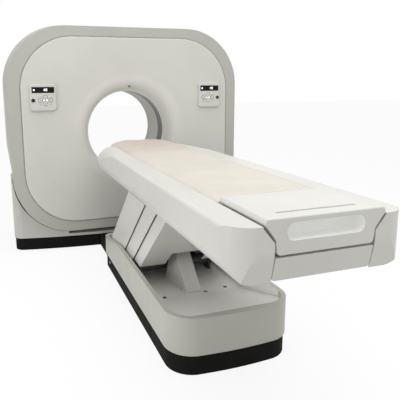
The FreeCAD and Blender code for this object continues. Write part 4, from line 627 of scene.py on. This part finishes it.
def pad_vinyl(name, base, warm):
    """Soft vinyl: leathery grain, uneven gloss, and a darker, warmer colour painted towards the head end as
    the shade of the pad's hollow there.
    """
    finish = Finish(name)
    mottled = finish.noise(scale=7.0, detail=5.0)
    reach = finish.math("ADD", finish.axis("Y"), finish.math("MULTIPLY", mottled, 0.5))
    bare = finish.clouded(mottled, shaded(base, 0.955), shaded(base, 1.02))
    at_head_end = finish.clouded(finish.noise(scale=16.0, detail=4.0), shaded(warm, 0.93), shaded(warm, 1.05))
    # painted shade blended in towards the head end
    tone = finish.blend(finish.spread(reach, 0.0, 1.0, *HEAD_SHADE_FADE_Y), bare, at_head_end)
    gloss = finish.spread(finish.noise(scale=12.0, detail=3.0), low=0.42, high=0.58)
    grain = finish.math("ADD", finish.math("MULTIPLY", finish.cells(scale=330.0), 0.6),
                        finish.noise(scale=900.0))
    return finish.done(tone, gloss, grain, depth=0.00022, Sheen_Weight=0.12, Sheen_Roughness=0.5)


def make_finishes(colours):
    """Every finish of the scanner, named by its slot in the record."""
    shade = {key: tuple(getattr(colours, key)) for key in ScannerColours.__annotations__}
    return dict((
        # painted light: a paler colour over the flare's upper rim lifts the shade there
        moulded("gantry_panel", shade["panel"], coat=0.05, painted_light=shade["flare"], where=painted_flare_light_mask),
        moulded("gantry_rim", shade["rim"]),
        moulded("stand_light", shade["stand"]),
        # painted light in the tray, and the cover's grey as painted shade on its upright faces
        moulded("base_cover", shade["base"], painted_light=shade["painted_light"], where=painted_tray_light_mask),
        moulded("table_light", shade["table"], roughness=0.4, coat=0.08),
        moulded("plinth_dark", shade["plinth"], roughness=0.8, variation=0.12, grain_depth=0.00015,
                sheen=0.08),
        scan_window("window_dark", shade["window"]),
        glass_panel("display_black", shade["display"]),
        moulded("key_grey", shade["key_light"], roughness=0.5, variation=0.02, grain=900.0),
        moulded("key_black", shade["key_dark"], roughness=0.38, variation=0.1, grain=900.0),
        lit("lens_green", LENS_GREEN, 0.05),
        rubber("gasket", shade["gasket"]),
        # painted light: the slot liner glows though it is no lamp
        lit("slot_liner", shade["liner"], 0.10),
        lit("table_lamp", shade["glint"], 0.35),
        metal("screw_cap", CAP_STEEL, roughness=0.3, scale=500.0),
        lit("digits", shade["digits"], 0.9),
        # painted shade at the pad's head end
        pad_vinyl("pad_vinyl", shade["pad"], shade["pad_warm"]),
        powder_coat("frame_steel", shade["frame_grey"]),
        metal("bare_steel", BARE_STEEL, stretch=(0.1, 1.0, 1.0)),
        metal("drum_aluminium", ALUMINIUM, roughness=0.42, scale=120.0),
        powder_coat("motor_grey", MOTOR_GREY),
        rubber("belt_rubber", BELT_BLACK, ribs=1200.0),
        metal("tube_metal", TUBE_METAL, roughness=0.38),
        metal("ring_brass", BRASS, roughness=0.3, stretch=(1.0, 12.0, 1.0)),
        # dark seams, rings and arrows, and painted shade on the rear air slots' plates
        rubber("seam_dark", shade["seam"]),
    ))


FINISHES = {}


def clad(piece, slot, body):
    """Gives a piece its finish and lets it ride on a body."""
    piece.data.materials.clear()
    piece.data.materials.append(FINISHES[slot])
    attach(piece, body)
    return piece


# ---- operators
class SCANNER_OT_finishes(bpy.types.Operator):
    """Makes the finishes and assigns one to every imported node."""
    bl_idname = "scanner.finishes"
    bl_label = "Finishes"

    def execute(self, context):
        FINISHES.update(make_finishes(context.scene.scanner_colours))
        for node, piece in NODES.items():
            finish = FINISHES[OWN_FINISH.get(node, SLOT_OF[node])]
            if not piece.material_slots:
                piece.data.materials.append(finish)
            for place in piece.material_slots:
                place.link = "OBJECT"
                place.material = finish
        return {"FINISHED"}


class SCANNER_OT_mattress_pad(bpy.types.Operator):
    """Pad with crowned top, drawn-in sides, sewn cross channels and a wrinkled wrap at the head end."""
    bl_idname = "scanner.mattress_pad"
    bl_label = "Mattress Pad"

    def execute(self, context):
        sizes = context.scene.scanner_pad
        low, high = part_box("mattress_pad")
        piece = grid_piece("mattress_pad_soft", pad_points(sizes, low, high))
        clad(piece, "pad_vinyl", "cradle")
        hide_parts("mattress_pad")
        return {"FINISHED"}


def quarter_circle(run):
    """Height of a quarter circle of radius 1, which rises from 0 to 1 along its run."""
    return np.sqrt(1 - (1 - np.clip(run, 0.0, 1.0)) ** 2)


def signed_power(value, exponent):
    """A power of a number's size that keeps its sign; below 1 it squares up a circle."""
    return np.sign(value) * np.abs(value) ** exponent


def pad_points(sizes, low, high):
    """The pad's skin: t runs from head to foot, a runs round the section.

    Each section's underside follows the hollow of the cradle, its top rises by the crown towards the
    middle, and its sides draw in halfway up.  Sections shrink to rounded ends, dip at the sewn channels
    and carry folds near the head."""
    (rings, spokes), (side_gap, floor_gap) = PAD_GRID, PAD_GAPS
    t = np.linspace(0.0, 1.0, rings)[:, None]
    a = ring_angles(spokes)[None, :]
    across, up = (signed_power(wave(a), exponent) for wave, exponent in zip((np.cos, np.sin), PAD_POWERS))
    y = (high.y + low.y) / 2 + (high.y - low.y) / 2 * np.cos(t * math.pi)
    end = quarter_circle(np.minimum(high.y - y, y - low.y) / PAD_END_ROUND)
    half = high.x - side_gap
    x = across * (half + pad_outset(sizes, y, up, high, half) - PAD_END_ROUND * (1 - end))
    side = np.clip(np.abs(x) / half, 0.0, 1.0)
    keel, top = low.z + floor_gap, high.z + sizes.loft
    rim = low.z + PAD_RIM_RISE
    waist = rim + PAD_WAIST
    roof = top - sizes.crown * side ** PAD_CROWN_POWER - PAD_EDGE_DROP * side ** PAD_EDGE_POWER
    roof = roof - pad_dips(sizes, y, low, high) + pad_folds(sizes, x, y, side)
    rise = np.clip((np.abs(x) - PAD_FLAT_HALF) / (half - PAD_FLAT_HALF), 0.0, 1.0) ** PAD_FLOOR_POWER
    floor = keel + (rim - keel) * rise
    z = waist + np.where(up >= 0, (roof - waist) * up, (waist - floor) * up)
    centre_z = (keel + top) / 2 + PAD_END_ROUND
    z = centre_z + (z - centre_z) * (PAD_END_SHARE + (1 - PAD_END_SHARE) * end)
    points = points_at(x, y, z)
    points[0], points[-1] = points[0].mean(0), points[-1].mean(0)
    return np.concatenate((points, points[:, :1]), 1)


def pad_outset(sizes, y, up, high, half):
    """Change of the pad's half width: out over the cradle's rim above it, in at the drawn sides below
    it, and in round the plan corners of the head end."""
    start, rise = PAD_LAP
    lapped = np.clip((up - start) / rise, 0.0, 1.0)
    drawn = sizes.edge_draw * (1 - up ** 2) * (0.5 + 0.5 * np.cos(y * PAD_DRAW_RATE))
    corner = sizes.head_corner * (1 - quarter_circle((high.y - y) / sizes.head_corner))
    return (high.x + sizes.lap - half) * lapped - corner - drawn * (1 - lapped)


def pad_dips(sizes, y, low, high):
    """Depth of the sewn cross channels: a bell curve about each channel's line."""
    dip = np.zeros_like(y)
    for part in PAD_CHANNELS:
        centre = low.y + part * (high.y - low.y)
        dip = dip + sizes.channel_depth * np.exp(-((y - centre) / (sizes.channel_width / 2)) ** 2)
    return dip


def pad_folds(sizes, x, y, side):
    """Height of the folds: a sum of turned and warped sine waves, deep in the wrap and faint elsewhere.

    They die out towards the edges, where 'side' reaches 1."""
    seed = np.random.default_rng(FOLD_SEED)
    folds = np.zeros(np.broadcast(y, x).shape)
    for _ in range(FOLD_COUNT):
        angle = seed.uniform(-FOLD_TURN, FOLD_TURN)
        rate = seed.uniform(*FOLD_RATES)
        phase = seed.uniform(0.0, FOLD_PHASE)
        warp = FOLD_WARP * np.sin(seed.uniform(*WARP_RATES) * x + phase)
        wave = np.sin(rate * (y * math.cos(angle) + x * math.sin(angle)) + phase + warp)
        folds += wave * FOLD_RATES[0] / rate
    middle, fade = FOLD_START
    at_head_end = 1 / (1 + np.exp((middle - y) / fade))
    folds = sizes.wrinkle * FOLD_SHARE * folds * (FOLD_REST + (1 - FOLD_REST) * at_head_end) * (1 - side ** 4)
    return np.minimum(folds, FOLD_LIMIT)


class SCANNER_OT_controls(bpy.types.Operator):
    """Figures, lamps, rings and arrow marks on both control panels."""
    bl_idname = "scanner.controls"
    bl_label = "Control Panels"

    def execute(self, context):
        sizes = context.scene.scanner_trims
        figures = context.scene.scanner_stage.digits
        low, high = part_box("displays")
        for side in SIDES:
            name = SIDES[side]
            add_display_marks(sizes, figures, side, low, high)
            add_stop_button(name)
            for key in KEY_DIRECTIONS:
                add_arrow_key(sizes, key, name, side)
            add_soft_keys(side)
        return {"FINISHED"}


def add_display_marks(sizes, figures, side, low, high):
    """Two lit figures and a round lamp behind the display's glass."""
    name = SIDES[side]
    inner = high.x - DISPLAY_WIDTH if side > 0 else low.x
    middle = inner + DISPLAY_WIDTH / 2 + FIGURES_OUT
    z = (low.z + high.z) / 2
    place = (middle, low.y - sizes.mark_proud * FIGURES_PROUD, z)
    height = sizes.digit_height * FIGURES_SCALE
    clad(lettering("figures_" + name, figures, height, sizes.mark_proud, place), "digits", "gantry")
    lens = turned_piece("lamp_" + name, DISPLAY_LAMP, (inner + LAMP_IN, low.y, z), FRONTWARD)
    clad(lens, "digits", "gantry")


def console_face():
    """The y of the consoles' front face, just behind the displays' glass."""
    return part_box("displays")[0].y + CONSOLE_FACE


def key_place(key, name):
    """Middle of one key, and the y of its cap's front."""
    low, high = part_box(f"{key}_button_{name}")
    return (low.x + high.x) / 2, (low.z + high.z) / 2, low.y


def ring_profile(inner, outer, height):
    """Section of a low round-edged ring."""
    crown = ((inner, height / 2), ((inner + outer) / 2, height), (outer, height / 2))
    return ((inner, -SUNK), *crown, (outer, -SUNK), (inner, -SUNK))


def add_arrow_key(sizes, key, name, side):
    """A dark ring round one arrow key and a dark arrow on its cap."""
    x, z, cap_y = key_place(key, name)
    profile = ring_profile(ARROW_KEY_RADIUS, ARROW_KEY_RADIUS + sizes.ring_width, RING_HEIGHT)
    ring = turned_piece(f"ring_{key}_{name}", profile, (x, console_face(), z), FRONTWARD, RING_STEPS)
    clad(ring, "seam_dark", "gantry")
    outward, upward = KEY_DIRECTIONS[key]
    turn = math.atan2(upward, outward * side) + np.array((0.0, ARROW_SPREAD, -ARROW_SPREAD))
    corners = np.stack((x + ARROW_RADIUS * np.cos(turn), z + ARROW_RADIUS * np.sin(turn)), -1)
    proud = sizes.mark_proud
    mark = bevelled_plate(f"arrow_{key}_{name}", round_box(corners, ARROW_CORNER, steps=4), cap_y, -1,
                          (MARK_BEVEL, proud, proud * MARK_EDGE, MARK_SUNK))
    clad(mark, "seam_dark", f"key_{key}_{name}")


def add_stop_button(name):
    """Collar round the black button."""
    x, z, _ = key_place("stop", name)
    place = (x, console_face(), z)
    collar = turned_piece("collar_stop_" + name, ring_profile(*STOP_COLLAR), place, FRONTWARD, RING_STEPS)
    clad(collar, "key_grey", "gantry")


def add_soft_keys(side):
    """Low membrane keys round the arrow cluster, and two lit marks at its middle."""
    name = SIDES[side]
    face_y = console_face()
    inner_x, level, _ = key_place("inner", name)
    middle = (inner_x + key_place("outer", name)[0]) / 2
    step_x, step_z = SOFT_KEY_STEP
    places = [(middle + x, face_y, level + z) for x in (-step_x, step_x) for z in (-step_z, step_z)]
    clad(round_group("soft_keys_" + name, SOFT_KEY, places, FRONTWARD, steps=28), "key_grey", "gantry")
    places = [(middle + x, face_y, level) for x in (-CENTRE_MARK_STEP, CENTRE_MARK_STEP)]
    clad(round_group("centre_marks_" + name, CENTRE_MARK, places, FRONTWARD, steps=24), "digits", "gantry")


class SCANNER_OT_seams(bpy.types.Operator):
    """Gasket round the front panel, seals beside the cradle, seams on the column and the slot's liner."""
    bl_idname = "scanner.seams"
    bl_label = "Seams and Seals"

    def execute(self, context):
        sizes = context.scene.scanner_trims
        add_panel_gasket(sizes)
        for side in SIDES:
            add_cradle_seal(sizes, side)
            for seam in COLUMN_SEAMS:
                add_column_seam(sizes, side, *seam)
        add_slot_liner(sizes)
        return {"FINISHED"}


def circle(radius):
    """A closed round section."""
    angle = ring_angles(steps=10)
    return np.stack((radius * np.cos(angle), radius * np.sin(angle)), -1)


def add_panel_gasket(sizes):
    """Round bead that follows the rounded rectangle of the front panel, half sunk in its groove."""
    low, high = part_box("front_cover")
    out = sizes.gasket_radius
    radius = sizes.panel_corner + out
    angle = np.linspace(0.0, math.pi / 2, CORNER_STEPS)
    path = []
    for number, (side_x, side_z) in enumerate(((1, 1), (-1, 1), (-1, -1), (1, -1))):
        centre_x = side_x * (high.x + out - radius)
        centre_z = high.z + out - radius if side_z > 0 else low.z - out + radius
        turn = angle + number * math.pi / 2
        x, z = centre_x + radius * np.cos(turn), centre_z + radius * np.sin(turn)
        path.append(points_at(x, RIM_FACE_Y + out * GASKET_PROUD, z))
    piece = swept_piece("panel_gasket", np.concatenate(path), circle(out), (0, 1, 0))
    clad(piece, "gasket", "gantry")


def add_cradle_seal(sizes, side):
    """Grey strip that closes the gap between one side cover and the cradle."""
    name = SIDES[side]
    foot_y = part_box(name + "_side_cover")[0].y + SEAL_FOOT_GAP
    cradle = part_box("cradle")[1]
    half = sizes.seal_width / 2
    y = np.linspace(foot_y, cradle.y - SEAL_HEAD_GAP, SEAL_STEPS)
    path = points_at(side * (cradle.x + SEAL_GAP + half), y, cradle.z + SEAL_RISE)
    edge, ridge = SEAL_CROWN
    section = [(-half, -SEAL_DEPTH), (half, -SEAL_DEPTH), (half, edge), (0.0, ridge), (-half, edge)]
    clad(swept_piece("cradle_seal_" + name, path, section, (0, 0, 1), closed=False), "gasket", "table")


def add_column_seam(sizes, side, name, body, pivot, face, square, low_z, high_z):
    """Dark bead along the edge of one column cover, parallel to the arm."""
    rise = np.linspace(low_z, high_z, SEAM_STEPS)
    along = (rise - pivot[1] - square * math.sin(ARM_LEAN)) / math.cos(ARM_LEAN)
    y = pivot[0] - along * math.sin(ARM_LEAN) + square * math.cos(ARM_LEAN)
    half = sizes.seam_width / 2
    path = points_at(side * (face - half), y, rise)
    piece = swept_piece(f"column_seam_{name}_{SIDES[side]}", path, circle(half), (1, 0, 0), closed=False)
    clad(piece, "seam_dark", body)


def add_slot_liner(sizes):
    """Bright liner of the handle slot: a shallow cup with a rounded rim, open to the front; its faint glow
    is painted light against the slot's shade.
    """
    (low_x, low_z), (high_x, high_z) = SLOT_BOX
    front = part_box("cradle_end_housing")[0].y
    radius, depth = (high_z - low_z) / 2, sizes.liner_depth
    angle = ring_angles(SLOT_STEPS)
    run = np.sign(np.cos(angle)) * ((high_x - low_x) / 2 - radius)
    outside, floor = LINER_OUTSIDE
    layers = [(LINER_BEND[0][0], LINER_START)]
    layers += [(inset, depth + step) for inset, step in LINER_BEND]
    layers += [(radius, depth), (radius, depth + floor), (outside, depth + floor), (outside, LINER_START)]
    rows = []
    for inset, y in layers:
        reach = radius - inset
        z = (low_z + high_z) / 2 + reach * np.sin(angle)
        rows.append(points_at(run + reach * np.cos(angle), front + y, z))
    piece = grid_piece("slot_liner", np.array(rows), wrap_u=True, wrap_v=True)
    clad(piece, "slot_liner", "cradle")


class SCANNER_OT_trims(bpy.types.Operator):
    """Screw caps, table lamps, air slots and a blank rating plate."""
    bl_idname = "scanner.trims"
    bl_label = "Trims"

    def execute(self, context):
        sizes = context.scene.scanner_trims
        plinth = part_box("table_plinth")[1]
        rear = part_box("rear_cover")[1].y
        for side in SIDES:
            places = [(side * plinth.x, *PLINTH_SCREW)]
            caps = screw_caps(sizes, "plinth_screws_" + SIDES[side], places, (side, 0, 0))
            clad(caps, "screw_cap", "floor_frame")
            add_table_lamp(side)
            add_louvres(sizes, side, rear)
        places = [(x, rear, z) for x, z in REAR_SCREWS]
        clad(screw_caps(sizes, "rear_screws", places, (0, 1, 0)), "screw_cap", "gantry")
        add_rating_plate()
        return {"FINISHED"}


def screw_caps(sizes, name, places, out):
    """Low domed screw heads with a round socket."""
    profile = [(sizes.screw_radius * across, sizes.screw_proud * up) for across, up in SCREW_CAP]
    foot = [(sizes.screw_radius, -SCREW_SUNK), (0.0, -SCREW_SUNK)]
    return round_group(name, profile + foot, places, out, steps=20)


def add_table_lamp(side):
    """Small round lamp on the slope of one side cover, towards its foot end."""
    x, y, z = LAMP_PLACE
    out = (side, 0, LAMP_LEAN)
    lens = turned_piece("table_lamp_" + SIDES[side], TABLE_LAMP, (side * x, y, z), out, steps=24)
    clad(lens, "table_lamp", "table")


def add_louvres(sizes, side, rear):
    """A group of air slots on the rear cover: flat dark plates, painted shade where the slots' openings
    would be, between rounded pale slats.
    """
    middle_x, start_z = LOUVRE_PLACE
    half = sizes.louvre_width / 2
    for kind, finish, rise, proud, radius, depth in LOUVRE_BARS:
        levels = [start_z + rise + number * sizes.louvre_pitch for number in range(sizes.louvre_count)]
        bars = [bar(kind, (side * middle_x, rear + proud, z), half, radius, depth) for z in levels]
        clad(joined(f"louvre_{kind}_{SIDES[side]}", bars), finish, "gantry")


def bar(name, middle, half, radius, depth):
    """A bar lying along X with round ends: radius up and down, depth front and back."""
    angle = ring_angles(steps=16)
    turn = np.linspace(0.0, math.pi / 2, BAR_END_STEPS)
    reach = half - radius * (1 - np.cos(turn))
    x = np.concatenate((-reach, reach[::-1]))[:, None]
    size = np.concatenate((np.sin(turn), np.sin(turn)[::-1]))[:, None]
    rings = points_at(x, depth * size * np.cos(angle), radius * size * np.sin(angle))
    return grid_piece(name, np.array(middle) + rings, wrap_v=True)


def add_rating_plate():
    """Blank rating plate on the rear of the stand."""
    (low_x, low_z), (high_x, high_z) = RATING_PLATE
    corners = ((low_x, low_z), (high_x, low_z), (high_x, high_z), (low_x, high_z))
    outline = round_box(corners, RATING_CORNER, steps=6)
    plate = bevelled_plate("rating_plate", outline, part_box("stand_cover")[1].y, 1, RATING_LAYERS)
    clad(plate, "screw_cap", "floor_frame")


class SCANNER_OT_stage(bpy.types.Operator):
    """Plain white floor, soft light and the camera."""
    bl_idname = "scanner.stage"
    bl_label = "Stage"

    def execute(self, context):
        settings = context.scene.scanner_stage
        backdrop = tuple(context.scene.scanner_colours.backdrop)
        make_floor(backdrop, settings.bounce, settings.whiteness)
        make_sky(settings.sky, backdrop)
        for setting, name, place, target, size in STAGE_LAMPS:
            lamp(name, place, target, size, getattr(settings, setting))
        make_camera()
        context.scene.view_settings.view_transform = "Standard"
        return {"FINISHED"}


def camera_sees(tree):
    """A value that is 1 for rays from the camera and for those mirrored or passed on by glass."""
    path = add_node(tree, "LightPath", {})
    seen = path.outputs["Is Camera Ray"]
    for other in ("Is Glossy Ray", "Is Transmission Ray"):
        seen = add_node(tree, "Math", {0: seen, 1: path.outputs[other]}, operation="MAXIMUM").outputs[0]
    return seen


def make_floor(backdrop, bounce, whiteness):
    """A wide floor that looks white and still takes the scanner's soft shadow."""
    reach = np.linspace(-FLOOR_REACH, FLOOR_REACH, 5)
    floor = grid_piece("floor", points_at(reach[:, None], reach[None, :], FLOOR_Z))
    if floor.data.polygons[0].normal.z < 0:
        floor.data.flip_normals()
    material = bpy.data.materials.new("floor_white")
    material.use_nodes = True
    tree = material.node_tree
    tree.nodes.clear()
    seen = camera_sees(tree)
    white, thrown = opaque(backdrop), opaque(shaded(backdrop, bounce))
    tone = add_node(tree, "Mix", {"Factor": seen, 6: thrown, 7: white}, data_type="RGBA")
    matt = add_node(tree, "BsdfDiffuse", {"Color": tone.outputs[2]})
    glow = add_node(tree, "Emission", {"Color": white, "Strength": 1.0})
    weight = add_node(tree, "Math", {0: seen, 1: whiteness}, operation="MULTIPLY")
    mix = add_node(tree, "MixShader", {"Fac": weight.outputs[0], 1: matt.outputs[0], 2: glow.outputs[0]})
    add_node(tree, "OutputMaterial", {"Surface": mix.outputs[0]})
    floor.data.materials.append(material)


def make_sky(strength, backdrop):
    """Even light all round; the camera and mirrors see plain white."""
    world = bpy.data.worlds.new("studio")
    bpy.context.scene.world = world
    world.use_nodes = True
    tree = world.node_tree
    level = add_node(tree, "MapRange", {"Value": camera_sees(tree), "To Min": strength, "To Max": 1.0})
    background = tree.nodes["Background"]
    tree.links.new(level.outputs["Result"], background.inputs["Strength"])
    background.inputs["Color"].default_value = opaque(backdrop)


def lamp(name, place, target, size, watts):
    """A large square lamp aimed at a target."""
    data = bpy.data.lights.new(name, "AREA")
    data.size, data.energy = size, watts
    holder = linked(name, data)
    holder.location = place
    holder.rotation_euler = (Vector(target) - Vector(place)).to_track_quat("-Z", "Y").to_euler()


def make_camera():
    """The photograph's viewpoint: left of the table's foot, a little above it."""
    yaw, pitch, roll = (math.radians(turn) for turn in CAMERA_TURN)
    data = bpy.data.cameras.new("camera")
    data.lens, data.sensor_width = CAMERA_LENS, SENSOR_WIDTH
    data.shift_x, data.shift_y = CAMERA_SHIFT
    camera = linked("camera", data)
    turns = ((-yaw, "Z"), (math.pi / 2 - pitch, "X"), (roll, "Z"))
    camera.matrix_world = Matrix.Translation(CAMERA_PLACE)
    for angle, axis in turns:
        camera.matrix_world @= Matrix.Rotation(angle, 4, axis)
    bpy.context.scene.camera = camera


class SCANNER_PT_panel(bpy.types.Panel):
    """Sidebar panel with every step of the scanner's dressing."""
    bl_label = "Scanner"
    bl_idname = "SCANNER_PT_panel"
    bl_space_type = "VIEW_3D"
    bl_region_type = "UI"
    bl_category = "Scanner"

    def draw(self, context):
        for operator in OPERATORS:
            self.layout.operator(operator.bl_idname)
        for group in GROUPS:
            settings = getattr(context.scene, group)
            box = self.layout.box()
            for key in settings.__annotations__:
                box.prop(settings, key)


OPERATORS = (SCANNER_OT_finishes, SCANNER_OT_mattress_pad, SCANNER_OT_controls, SCANNER_OT_seams,
             SCANNER_OT_trims, SCANNER_OT_stage)
GROUPS = {"scanner_colours": ScannerColours, "scanner_pad": PadSizes, "scanner_trims": TrimSizes,
          "scanner_stage": StageSettings}


def register():
    """Registers the classes and hangs the settings on the scene."""
    for group in GROUPS.values():
        bpy.utils.register_class(group)
    for name, group in GROUPS.items():
        setattr(bpy.types.Scene, name, PointerProperty(type=group))
    for operator in OPERATORS:
        bpy.utils.register_class(operator)
    bpy.utils.register_class(SCANNER_PT_panel)


def unregister():
    """Takes the settings and classes away again."""
    bpy.utils.unregister_class(SCANNER_PT_panel)
    for operator in OPERATORS:
        bpy.utils.unregister_class(operator)
    for name, group in GROUPS.items():
        delattr(bpy.types.Scene, name)
        bpy.utils.unregister_class(group)


def main():
    """Runs every step in order."""
    register()
    for operator in OPERATORS:
        area, name = operator.bl_idname.split(".")
        getattr(getattr(bpy.ops, area), name)()


if __name__ == "__main__":
    main()
